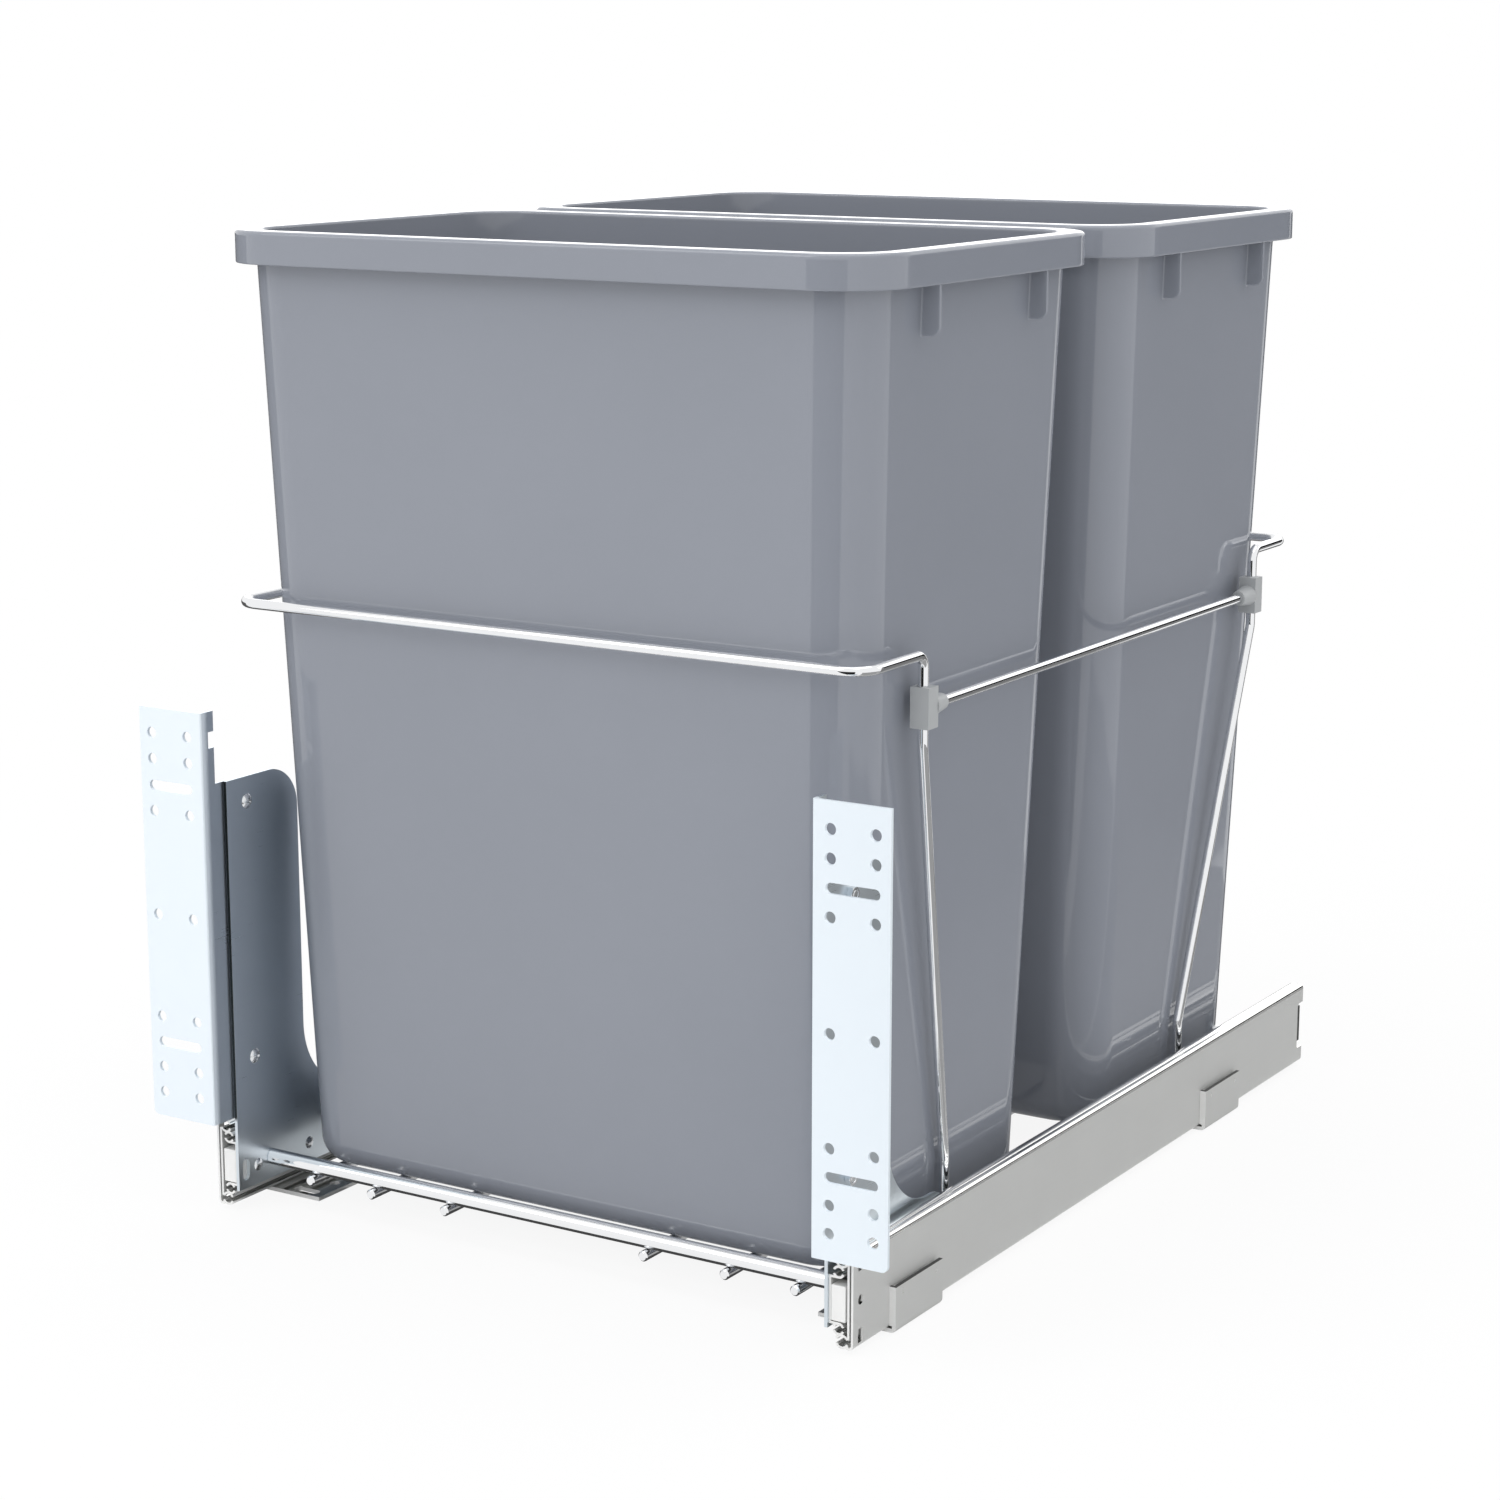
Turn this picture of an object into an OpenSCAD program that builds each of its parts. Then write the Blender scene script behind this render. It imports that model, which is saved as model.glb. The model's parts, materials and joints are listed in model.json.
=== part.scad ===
// Pull-out bin frame: two waste bins on a wire carriage that runs on a pair of
// full-extension ball-bearing slides, with plates at the front that carry a cabinet door.
// X runs across the frame, +Y points to the back of the cabinet and +Z is up.
// The origin is on the cabinet floor, under the middle of the closed frame.
// Inside the modules Y is measured from the front face of the door plates.

/* [Bins] */
// Width of a bin over its collar
bin_w = 364; // [320:1:420]
// Depth of a bin over its collar
bin_d = 226; // [190:1:280]
// Height of a bin
bin_h = 465.75; // [400:0.25:520]
// Wall and floor thickness of a bin
bin_wall = 2.5; // [1.5:0.1:4]
// How far each wall leans in from the collar to the floor
bin_taper = 14; // [6:0.5:20]
// Height of the collar round the mouth
collar_h = 15.7; // [10:0.1:24]
// How far the collar stands out from the wall
collar_out = 9.5; // [7:0.1:12]
// Thickness of the collar's skirt and lip
collar_t = 2.2; // [1.5:0.1:3]
// Corner radius of the collar in plan
collar_r = 34; // [28:0.5:44]
// Corner radius of the bin's wall in plan
body_r = 26; // [20:0.5:36]
// Fillet round the bin's floor
base_fillet = 12; // [4:0.5:18]
// Gap between the collars of the two bins
bin_gap = 21.6; // [6:0.1:40]
// Front collar's distance behind the door plate face
bin_setback = 28.1; // [20:0.1:40]
// Thickness of the fins under the collar
fin_t = 2.3; // [1.5:0.1:4]
// How far the fins reach down from the collar
fin_h = 22.5; // [12:0.5:40]
// How far the fins stay inside the collar's outer face
fin_in = 0.8; // [0.4:0.1:3]
// Radius of the fins' lower corner
fin_corner_r = 4; // [1:0.5:6]
// Distance between the two fins of one side
fin_span = 102.2; // [60:0.1:120]

/* [Slides] */
// Height of a slide
slide_h = 45; // [43:0.5:53]
// Thickness of a slide
slide_t = 12.7; // [12:0.1:14]
// Sheet thickness of the rails
rail_t = 1.2; // [1:0.05:1.4]
// Radius of the outer rail's rolled corners
rail_bend_r = 2.4; // [2:0.1:2.6]
// Ball diameter between the outer and middle rail
ball_d = 4; // [3.4:0.1:4.4]
// Ball diameter between the middle and inner rail
inner_ball_d = 3.2; // [2.8:0.1:3.5]
// Balls in each row
balls_per_row = 6; // [4:1:12]
// Length of a ball cage
cage_len = 200; // [120:1:230]
// Sheet thickness of a ball cage
cage_t = 0.4; // [0.3:0.05:0.5]
// Slide front's distance behind the door plate face
slide_setback = 16; // [10:0.5:24]
// How far the slides run on behind the rear cross rod
slide_tail = 35; // [28:0.5:60]
// Screw hole at the front of the outer rail
rail_hole_d = 4.5; // [3:0.1:6]
// Distance of that hole from the rail's front end
rail_hole_in = 6.5; // [4:0.5:12]
// Length of the two ears at the rail's rear end
ear_len = 7; // [3:0.5:12]
// Height of the upper ear
ear_top_h = 10; // [8:0.5:13]
// Height of the lower ear
ear_low_h = 9; // [8:0.5:13]
// Length of the lanced windows at the rail's front corners
window_l = 4.4; // [2:0.1:6]
// Height of the lanced windows
window_h = 6.5; // [4:0.1:8]
// Length of the plastic front cap
cap_l = 8; // [5:0.5:9]
// Height of the plastic front cap
cap_h = 17; // [12:0.5:19]
// Length of the rear bumper
bumper_l = 8; // [5:0.5:12]

/* [Floor brackets] */
// Thickness of the bracket's sheet
foot_t = 2; // [1.5:0.1:3]
// Length of a bracket along the slide
foot_l = 44; // [36:1:60]
// How far the foot reaches in from the slide's outer face
foot_reach = 37.4; // [33:0.1:44]
// Height of the upright beside the slide
upright_h = 22; // [18:0.5:30]
// Gap between the upright and the slide
upright_gap = 1.4; // [0.8:0.1:2.4]
// Front bracket's distance behind the slide's front end
foot_in = 32.5; // [26:0.5:60]
// Distance from the front bracket to the rear one
foot_pitch = 336.5; // [280:0.5:360]
// Diameter of the screw hole in the foot
foot_hole_d = 5; // [4:0.1:6]
// Distance of that hole from the foot's inner end
foot_hole_end = 7; // [5:0.5:10]
// Length of the slot in the foot
foot_slot_l = 15; // [10:0.5:16]
// Distance of the slot's middle from the foot's inner end
foot_slot_end = 12; // [11:0.5:13]
// Distance of the slot from the foot's front edge
foot_slot_in = 5.5; // [4:0.5:8]
// Distance from the slot's row to the hole's row
foot_row = 16; // [10:0.5:22]
// Diameter of the spot-weld nubs
nub_d = 4; // [3:0.1:5]

/* [Door plates] */
// Width of a door plate
plate_w = 38.9; // [36:0.1:60]
// Height of a door plate
plate_h = 207; // [185:1:240]
// Thickness of a door plate
plate_t = 1.7; // [1.2:0.1:2.5]
// Gap between the slide's top and the plate's lower edge
plate_lift = 2; // [1:0.5:8]
// Depth of the plate's flange beside the arm
flange_d = 45; // [40:1:60]
// Depth of the flange above the arm
lip_d = 9; // [6:0.5:12]
// Depth of the notch in the upper flange
lip_notch = 4; // [1:0.5:5]
// Diameter of the door screw holes
door_hole_d = 5.5; // [4:0.1:6]
// Distance between the two columns of holes
door_hole_col = 22.4; // [16:0.1:26]
// How far the columns sit outward of the plate's middle
door_hole_shift = 0.8; // [-2:0.1:2]
// Distance between rows of holes
door_hole_row = 13; // [11:0.5:16]
// Distance of the first row from the plate's end
door_hole_end = 12.5; // [8:0.5:16]
// Length of the adjusting slots
door_slot_l = 27; // [15:0.5:30]
// Width of the adjusting slots
door_slot_w = 5; // [4:0.1:6]

/* [Side arms] */
// Thickness of a side arm
arm_t = 1.7; // [1.2:0.1:2.5]
// Arm front's distance behind the door plate face
arm_front = 15; // [10:0.5:20]
// Depth of the upright part of the arm
arm_d = 53; // [44:1:70]
// Height of the arm above the slide
arm_rise = 173; // [150:1:180]
// Radius of the arm's top rear corner
arm_corner_r = 21; // [5:1:25]
// Length of the arm's foot along the slide
arm_foot_l = 110; // [104:1:140]
// How far the arm's foot stays below the slide's top
arm_foot_drop = 2; // [0:0.5:8]
// Radius of the flare between the arm and its foot
flare_r = 40; // [20:1:44]
// Lower edge of the arm above the slide's lower edge
arm_low = 9; // [8:0.5:10]
// Screw diameter between plate and arm
screw_d = 4; // [3:0.1:5]
// Rivet diameter between arm and inner rail
rivet_d = 4; // [3:0.1:5]
// Distance between the rivets
rivet_pitch = 40; // [20:1:42]
// Rivets' distance below the middle of the slide
rivet_drop = 3.7; // [0:0.1:5]

/* [Wire carriage] */
// Diameter of the front and rear cross rods
rod_d = 8; // [5:0.1:9]
// Diameter of the floor wires and cradle wires
wire_d = 5.2; // [4:0.1:6]
// Diameter of the side rods
side_rod_d = 6; // [4:0.1:6.4]
// Diameter of the hoops and guard rods
hoop_d = 5; // [4:0.1:6]
// Cross rods' height above the cabinet floor
rod_z = 22; // [20:0.1:25]
// Front cross rod's distance behind the door plate face
rod_front = 40.7; // [34:0.1:45]
// Rear cross rod's distance behind the rear bin's floor
rod_rear_gap = 10.8; // [8:0.1:20]
// How far the floor wires run past the cross rods
wire_overrun = 5.2; // [2:0.1:8]
// Outer floor wires' distance from the side arms
wire_in_1 = 28; // [16:0.5:40]
// Middle floor wires' distance from the side arms
wire_in_2 = 66; // [50:0.5:80]
// Inner floor wires' distance from the side arms
wire_in_3 = 111; // [90:0.5:140]
// Gap between the bin's floor edge and the slide's carriage face
side_gap = 12.2; // [11:0.1:20]
// Side rods' height above the cabinet floor
side_rod_z = 27; // [25:0.5:42]
// Side rods' distance from the arms
side_rod_in = 5.5; // [5:0.1:6]
// Front end of the side rods behind the door plate face
side_rod_front = 90; // [46:0.5:110]
// How far the side rods stop short of the rear cross rod
side_rod_stop = 26.8; // [10:0.1:50]
// Height of the hoops above the cabinet floor
hoop_z = 305; // [270:1:330]
// Gap between the bin's wall and the middle of a hoop
hoop_gap = 8.2; // [6:0.1:14]
// Front hoop's run back to its legs
front_run = 53.4; // [40:0.1:70]
// Rear hoop's run forward to its legs
rear_run = 45.2; // [36:0.1:70]
// Slant of the front legs towards the middle
front_lean = 47.4; // [20:0.1:70]
// Slant of the rear legs towards the middle
rear_lean = 53.1; // [20:0.1:70]
// Straight drop of the legs below the hoop
leg_drop = 41; // [36:0.5:60]
// Straight foot of the legs above the side rods
leg_foot = 24; // [10:0.5:30]
// Guard rods' distance below the hoops
guard_drop = 24; // [18:0.5:26]
// Plan radius of the hoops' corners
hoop_corner_r = 12; // [8:0.5:20]
// Radius of the bend from hoop to leg
leg_bend_r = 6; // [4:0.5:10]
// Radius of the cradle wires' turned-up ends
cradle_r = 8; // [6:0.5:12]

/* [Guard clips] */
// Width of a clip across the leg
clip_w = 9.5; // [9:0.1:12]
// Depth of a clip along the guard rod
clip_d = 9; // [8:0.1:12]
// Height of a clip
clip_h = 19; // [14:0.5:24]
// How far a clip sits off its leg, towards the guard rod
clip_shift = 1.1; // [0:0.1:1.4]
// Diameter of the clip's boss at its root
boss_d = 11; // [9:0.1:12]
// Diameter of the clip's boss at its tip
boss_tip_d = 7.6; // [7.2:0.1:9]
// Length of the clip's boss
boss_l = 11.5; // [8:0.5:14]

/* [Fits] */
// Gap between wires that are welded together
weld_gap = 0.05; // [0.02:0.01:0.2]
// Gap under a bin on its wires
seat_gap = 0.3; // [0.1:0.05:1]
// Clearance of the balls in their races
ball_clear = 0.3; // [0.2:0.05:0.35]
// Clearance beside a ball cage's web
cage_clear = 0.2; // [0.1:0.05:0.25]
// Clearance of screws, rivets and wires in their holes
hole_clear = 0.05; // [0.02:0.01:0.1]
// Gap between the closed rails and the rear bumper
stop_gap = 0.4; // [0.2:0.1:2]

/* [Hidden] */
$fn = 48;
LEFT = -1;
RIGHT = 1;
FRONT = -1;
REAR = 1;
// Overshoot of cutting tools past the faces that they cut
cut = 1;

// Colours
zinc = "lightgray";
bright_zinc = "aliceblue";
chrome = "gainsboro";
bin_grey = "slategray";
clip_grey = "darkgray";
dark_plastic = "dimgray";
white_plastic = "white";
ball_steel = "silver";

// Bins: plan sizes of the wall at its top and floor, and places along Y
bin_base_z = rod_z - rod_d / 2 - weld_gap + seat_gap;
wall_rise = bin_h - collar_h;
wall_half_w = bin_w / 2 - collar_out;
wall_half_d = bin_d / 2 - collar_out;
base_half_w = wall_half_w - bin_taper;
base_half_d = wall_half_d - bin_taper;
front_bin_y = bin_setback + bin_d / 2;
rear_bin_y = front_bin_y + bin_d + bin_gap;
// Lean of a bin's wall at a height above the cabinet floor, to a hundredth of a millimetre
function lean_at(z) = round(100 * bin_taper * (wall_rise - (z - bin_base_z)) / wall_rise) / 100;

// Carriage and slides: faces across X, ends along Y
carriage_half = base_half_w + side_gap;
arm_face = carriage_half - arm_t;
slide_face = carriage_half + slide_t;
rear_rod_y = rear_bin_y + base_half_d + rod_rear_gap;
slide_front = slide_setback;
slide_rear = rear_rod_y + slide_tail;
slide_mid = (slide_front + slide_rear) / 2;
slide_z = foot_t;
slide_mid_z = slide_z + slide_h / 2;
slide_top = slide_z + slide_h;
frame_depth = slide_rear;

// Slide section: s runs inward from the outer face, z up from the lower edge
race_r = ball_d / 2 + ball_clear;
race_out = race_r + rail_t;
inner_race_r = inner_ball_d / 2 + ball_clear;
inner_race_out = inner_race_r + rail_t;
race_gap_angle = 20;
race_merge = 1;
// Depth of the groove between a rolled corner and the race, and where the corner's arc runs into the race
rail_groove = 0.6;
rail_bend_end = 30;
middle_s = rail_t + 2 * cage_clear + cage_t;
outer_cage_s = rail_t + cage_clear;
inner_cage_s = middle_s + rail_t + cage_clear;
inner_web_s = slide_t - rail_t;
ball_s = middle_s + rail_t / 2 + race_out * cos(race_gap_angle);
ball_z = slide_h - race_out;
inner_ball_s = (inner_cage_s + cage_t + inner_web_s) / 2;
inner_ball_z = ball_z - race_out - inner_race_out + race_merge;
inner_half_h = inner_ball_z - inner_race_out + rail_t - slide_h / 2;
cage_tab_t = 0.6;
cage_hole_clear = 0.15;
cage_rim = 0.8;
bumper_front = slide_rear - bumper_l;
rail_rear = bumper_front - stop_gap;
ear_corner_r = 2;

// Floor brackets
upright_face = slide_face + upright_gap + foot_t;
foot_end = slide_face - foot_reach;
foot_ys = [slide_front + foot_in, slide_front + foot_in + foot_pitch];
return_lift = 1.2;
nub_in = 6.5;
nub_low = 3.5;
dimple_depth = 0.6;

// Door plates and side arms
plate_z = slide_top + plate_lift;
plate_mid_z = plate_z + plate_h / 2;
plate_bend_r = 1;
plate_corner_r = 3;
plate_hole_x = carriage_half + plate_w / 2 + door_hole_shift;
row_end = plate_h / 2 - door_hole_end;
door_rows = [0, row_end, row_end - door_hole_row, row_end - 3 * door_hole_row];
slot_row = row_end - 2 * door_hole_row;
lip_notch_h = 8;
lip_notch_down = 10;
arm_top = slide_top + arm_rise;
arm_low_z = slide_z + arm_low;
arm_foot_top = slide_top - arm_foot_drop;
arm_rear = arm_front + arm_d;
arm_foot_rear = arm_front + arm_foot_l;
arm_foot_r = 14;
arm_slot_w = 5;
arm_slot_h = 11;
arm_slot_in = 5.5;
screw_y = (arm_front + flange_d) / 2;
screw_zs = [plate_z + 28.5, arm_top - 12.5];
screw_hole_d = screw_d + 2 * hole_clear;
screw_head_d = 1.9 * screw_d;
screw_head_h = 0.4 * screw_d;
nut_t = 0.7 * screw_d;
nut_across = 1.9 * screw_d;
rivet_hole_d = rivet_d + 2 * hole_clear;
rivet_head_d = 1.6 * rivet_d;
rivet_head_h = 1.2;
rivet_tail_h = 0.8;
rivet_z = slide_mid_z - rivet_drop;
rivet_ys = [for (i = [0:2]) arm_front + 15 + i * rivet_pitch];
rear_bracket_l = 32;
rear_rivet_out = 10;
rear_rivet_ys = [rear_rod_y - rear_rivet_out, rear_rod_y + rear_rivet_out];

// Wire carriage
wire_z = rod_z - (rod_d + wire_d) / 2 - weld_gap;
cradle_z = wire_z - wire_d - weld_gap;
floor_wire_xs = [for (w = [wire_in_1, wire_in_2, wire_in_3]) arm_face - w];
side_rod_x = arm_face - side_rod_in;
side_rod_rear = rear_rod_y - side_rod_stop;
hoop_lean = lean_at(hoop_z);
hoop_half_w = wall_half_w - hoop_lean + hoop_gap;
hoop_half_d = wall_half_d - hoop_lean + hoop_gap;
front_hoop_y = front_bin_y - hoop_half_d;
rear_hoop_y = rear_bin_y + hoop_half_d;
front_leg_y = front_hoop_y + front_run;
rear_leg_y = rear_hoop_y - rear_run;
front_foot_y = front_leg_y + front_lean;
rear_foot_y = rear_leg_y - rear_lean;
leg_kink_z = hoop_z - leg_drop;
leg_end_z = side_rod_z + side_rod_d / 2 + weld_gap;
leg_foot_z = leg_end_z + leg_foot;
knuckle_d = 1.02 * hoop_d;
guard_z = hoop_z - guard_drop;
guard_bite = 6;
boss_merge = 0.5;

// General helpers

// Moves the work frame, which starts at the door plates, onto the origin
module in_frame() {
    translate([0, -frame_depth / 2, 0]) children();
}

// Draws the right-hand piece, or its mirror image on the left
module on_side(side) {
    in_frame() {
        if (side == LEFT) {
            mirror([1, 0, 0]) children();
        } else {
            children();
        }
    }
}

// Extrudes an X-Z section from y0 to y1
module along_y(y0, y1) {
    translate([0, y1, 0]) rotate([90, 0, 0]) linear_extrude(height = y1 - y0) children();
}

// Extrudes a Y-Z outline from x0 to x1
module along_x(x0, x1) {
    translate([x0, 0, 0]) rotate([90, 0, 90]) linear_extrude(height = x1 - x0) children();
}

// A round bar along X
module bar_x(x0, x1, y, z, d) {
    translate([x0, y, z]) rotate([0, 90, 0]) cylinder(d = d, h = x1 - x0);
}

// A round bar along Y
module bar_y(y0, y1, x, z, d) {
    translate([x, y1, z]) rotate([90, 0, 0]) cylinder(d = d, h = y1 - y0);
}

// A slot with round ends, along the first axis of its plane
module slot_outline(length, width) {
    run = length - width;
    square([run, width], center = true);
    for (end = [-1, 1]) {
        translate([end * run / 2, 0]) circle(d = width);
    }
}

// A rectangle with round corners, centred
module rounded_plan(w, d, r) {
    square([w - 2 * r, d], center = true);
    square([w, d - 2 * r], center = true);
    for (sx = [-1, 1]) {
        for (sy = [-1, 1]) {
            translate([sx * (w / 2 - r), sy * (d / 2 - r)]) circle(r = r);
        }
    }
}

function unit(v) = v / norm(v);

// A round bar from one point to another
module straight_wire(start, end, d) {
    along = unit(end - start);
    across = unit(cross(along, abs(along.z) < 0.5 ? [0, 0, 1] : [0, 1, 0]));
    aim_axes(start, across, cross(along, across), along) cylinder(d = d, h = norm(end - start));
}

// A round bar along a run of points, with its own bend radius at each inner point
function bend_angle(p, i) = acos(unit(p[i] - p[i - 1]) * unit(p[i + 1] - p[i]));
function bend_cut(p, radii, i) = (i == 0 || i == len(p) - 1) ? 0 : radii[i] * tan(bend_angle(p, i) / 2);

module bent_wire(points, radii, d) {
    last = len(points) - 1;
    for (i = [0:last - 1]) {
        along = unit(points[i + 1] - points[i]);
        start = points[i] + along * bend_cut(points, radii, i);
        end = points[i + 1] - along * bend_cut(points, radii, i + 1);
        straight_wire(start, end, d);
    }
    for (i = [1:last - 1]) {
        before = unit(points[i] - points[i - 1]);
        after = unit(points[i + 1] - points[i]);
        inward = unit(after - before * (before * after));
        centre = points[i] - before * bend_cut(points, radii, i) + inward * radii[i];
        aim_axes(centre, -inward, before, cross(-inward, before))
            rotate_extrude(angle = bend_angle(points, i)) translate([radii[i], 0]) circle(d = d);
    }
}

// Places children in the frame with this origin and these three unit axes
module aim_axes(origin, x, y, z) {
    multmatrix([
        [x.x, y.x, z.x, origin.x],
        [x.y, y.y, z.y, origin.y],
        [x.z, y.z, z.z, origin.z],
        [0, 0, 0, 1]
    ]) children();
}

// Slides

// Draws a slide section whose s runs inward from the slide's outer face
module slide_section() {
    translate([slide_face, slide_z]) mirror([1, 0]) children();
}

// Repeats the upper half of a slide section in the lower half
module upper_and_lower() {
    children();
    translate([0, slide_h]) mirror([0, 1]) children();
}

// Part of a ball race round the point (s, z), between two angles
module race(s, z, r, angle_from, angle_to) {
    reach = 3 * (r + rail_t);
    turn = (angle_to - angle_from) / 2;
    translate([s, z]) intersection() {
        difference() {
            circle(r = r + rail_t);
            circle(r = r);
        }
        polygon([
            [0, 0],
            for (i = [0:2]) reach * [cos(angle_from + i * turn), sin(angle_from + i * turn)]
        ]);
    }
}

module upper_race(s, z, r) {
    race(s, z, r, race_gap_angle, 180 - race_gap_angle);
}

module lower_race(s, z, r) {
    race(s, z, r, 180 + race_gap_angle, 360 - race_gap_angle);
}

// Web with rolled corners that run through a shallow groove into the ball races
module outer_rail_section() {
    bridge_z = slide_h - rail_groove - rail_t;
    translate([0, rail_bend_r]) square([rail_t, slide_h - 2 * rail_bend_r]);
    upper_and_lower() {
        race(rail_bend_r, slide_h - rail_bend_r, rail_bend_r - rail_t, rail_bend_end, 180);
        translate([rail_bend_r, bridge_z]) square([ball_s - race_r - rail_bend_r, rail_t]);
        upper_race(ball_s, ball_z, race_r);
    }
}

module middle_rail_section() {
    web_top = ball_z - race_out * sin(race_gap_angle);
    translate([middle_s, slide_h - web_top]) square([rail_t, 2 * web_top - slide_h]);
    upper_and_lower() {
        lower_race(ball_s, ball_z, race_r);
        upper_race(inner_ball_s, inner_ball_z, inner_race_r);
    }
}

module inner_rail_section() {
    flange_z = inner_ball_z - inner_race_out;
    translate([inner_web_s, slide_h / 2 - inner_half_h]) square([rail_t, 2 * inner_half_h]);
    upper_and_lower() {
        lower_race(inner_ball_s, inner_ball_z, inner_race_r);
        translate([inner_ball_s, flange_z]) square([slide_t - inner_ball_s, rail_t]);
    }
}

// Cut for the recess between the two ears at the rail's rear end
module ear_recess() {
    low = slide_z + ear_low_h;
    high = slide_top - ear_top_h;
    translate([slide_rear - ear_len + ear_corner_r, low]) square([ear_len + cut, high - low]);
    translate([slide_rear - ear_len, low + ear_corner_r])
        square([ear_len, high - low - 2 * ear_corner_r]);
    for (z = [low + ear_corner_r, high - ear_corner_r]) {
        translate([slide_rear - ear_len + ear_corner_r, z]) circle(r = ear_corner_r);
    }
}

module outer_rail(side) {
    web_in = slide_face - rail_t;
    hole_y = slide_front + rail_hole_in;
    color(zinc) on_side(side) difference() {
        along_y(slide_front, slide_rear) slide_section() outer_rail_section();
        bar_x(web_in - cut / 4, slide_face + cut, hole_y, slide_mid_z, rail_hole_d);
        along_x(web_in - cut / 4, slide_face + cut) {
            ear_recess();
            for (z = [slide_z + rail_bend_r, slide_top - rail_bend_r - window_h]) {
                translate([hole_y - window_l / 2, z]) square([window_l, window_h]);
            }
        }
    }
}

module middle_rail(side) {
    color(zinc) on_side(side) along_y(slide_front, rail_rear) slide_section() middle_rail_section();
}

module inner_rail(side) {
    color(zinc) on_side(side) difference() {
        along_y(slide_front, rail_rear) slide_section() inner_rail_section();
        for (y = concat(rivet_ys, rear_rivet_ys)) {
            bar_x(carriage_half - cut, carriage_half + rail_t + cut, y, rivet_z, rivet_hole_d);
        }
    }
}

// Places of the balls of one row along the slide
function ball_ys() = [
    for (i = [0:balls_per_row - 1]) slide_mid + (i - (balls_per_row - 1) / 2) * cage_len / balls_per_row
];

module balls(side, s, z, d) {
    color(ball_steel) on_side(side) {
        for (y = ball_ys()) {
            for (row_z = [z, slide_h - z]) {
                translate([slide_face - s, y, slide_z + row_z]) sphere(d = d);
            }
        }
    }
}

// A sheet cage whose bent tabs hold a row of balls above and below
module cage(side, web_s, s, z, d) {
    tab_end = s + d / 2 + cage_hole_clear + cage_rim;
    tab_top = z + cage_tab_t / 2;
    color(dark_plastic) on_side(side) difference() {
        along_y(slide_mid - cage_len / 2, slide_mid + cage_len / 2) slide_section() polygon([
            [web_s, slide_h - tab_top],
            [tab_end, slide_h - tab_top],
            [tab_end, slide_h - tab_top + cage_tab_t],
            [web_s + cage_t, slide_h - tab_top + cage_tab_t],
            [web_s + cage_t, tab_top - cage_tab_t],
            [tab_end, tab_top - cage_tab_t],
            [tab_end, tab_top],
            [web_s, tab_top]
        ]);
        for (y = ball_ys()) {
            for (row_z = [z, slide_h - z]) {
                translate([slide_face - s, y, slide_z + row_z - cut])
                    cylinder(d = d + 2 * cage_hole_clear, h = 2 * cut);
            }
        }
    }
}

module outer_cage(side) {
    cage(side, outer_cage_s, ball_s, ball_z, ball_d);
}

module inner_cage(side) {
    cage(side, inner_cage_s, inner_ball_s, inner_ball_z, inner_ball_d);
}

module outer_balls(side) {
    balls(side, ball_s, ball_z, ball_d);
}

module inner_balls(side) {
    balls(side, inner_ball_s, inner_ball_z, inner_ball_d);
}

// Plastic cap in the front of the inner rail
module front_cap(side) {
    low = slide_h / 2 - inner_half_h + rail_t + ball_clear;
    inner_s = inner_cage_s + cage_t + ball_clear;
    color(white_plastic) on_side(side) along_y(slide_front, slide_front + cap_l) slide_section()
        translate([inner_s, low]) square([inner_web_s - inner_s, cap_h]);
}

// Stop for the closed rails, seated on the outer rail's web
module rear_bumper(side) {
    half_h = inner_half_h - rail_t;
    color(dark_plastic) on_side(side) along_y(bumper_front, slide_rear - cut) slide_section()
        translate([rail_t, slide_h / 2 - half_h]) square([inner_web_s - rail_t, 2 * half_h]);
}

// Floor brackets

module foot_bracket(side, y) {
    upright_in = upright_face - foot_t;
    nub_z = upright_h - nub_low;
    nub_ys = [y + nub_in, y + foot_l - nub_in];
    color(zinc) on_side(side) difference() {
        union() {
            translate([foot_end, y, 0]) cube([upright_face - foot_end, foot_l, foot_t]);
            translate([upright_in, y, 0]) cube([foot_t, foot_l, upright_h]);
            translate([slide_face, y, foot_t + return_lift])
                cube([upright_gap + foot_t, foot_t, upright_h - foot_t - return_lift]);
            for (nub_y = nub_ys) {
                bar_x(slide_face, upright_in + foot_t / 2, nub_y, nub_z, nub_d);
            }
        }
        for (nub_y = nub_ys) {
            bar_x(upright_face - dimple_depth, upright_face + cut, nub_y, nub_z, 0.6 * nub_d);
        }
        translate([foot_end + foot_slot_end, y + foot_slot_in, -cut])
            linear_extrude(height = foot_t + 2 * cut) slot_outline(foot_slot_l, foot_hole_d);
        translate([foot_end + foot_hole_end, y + foot_slot_in + foot_row, -cut])
            cylinder(d = foot_hole_d, h = foot_t + 2 * cut);
    }
}

// Door plates, side arms and their fasteners

// L section of the door plate in plan, with a tight bend
module plate_section(depth) {
    difference() {
        union() {
            square([plate_w, plate_t]);
            square([plate_t, depth]);
        }
        difference() {
            translate([-cut, -cut]) square(plate_bend_r + cut);
            translate([plate_bend_r, plate_bend_r]) circle(r = plate_bend_r);
        }
    }
}

// Cut that leaves a round lower corner at the outer edge of the plate
module plate_corner_cut() {
    corner_x = carriage_half + plate_w - plate_corner_r;
    corner_z = plate_z + plate_corner_r;
    difference() {
        translate([corner_x, plate_z - cut]) square(plate_corner_r + cut);
        translate([corner_x, corner_z]) circle(r = plate_corner_r);
    }
}

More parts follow.
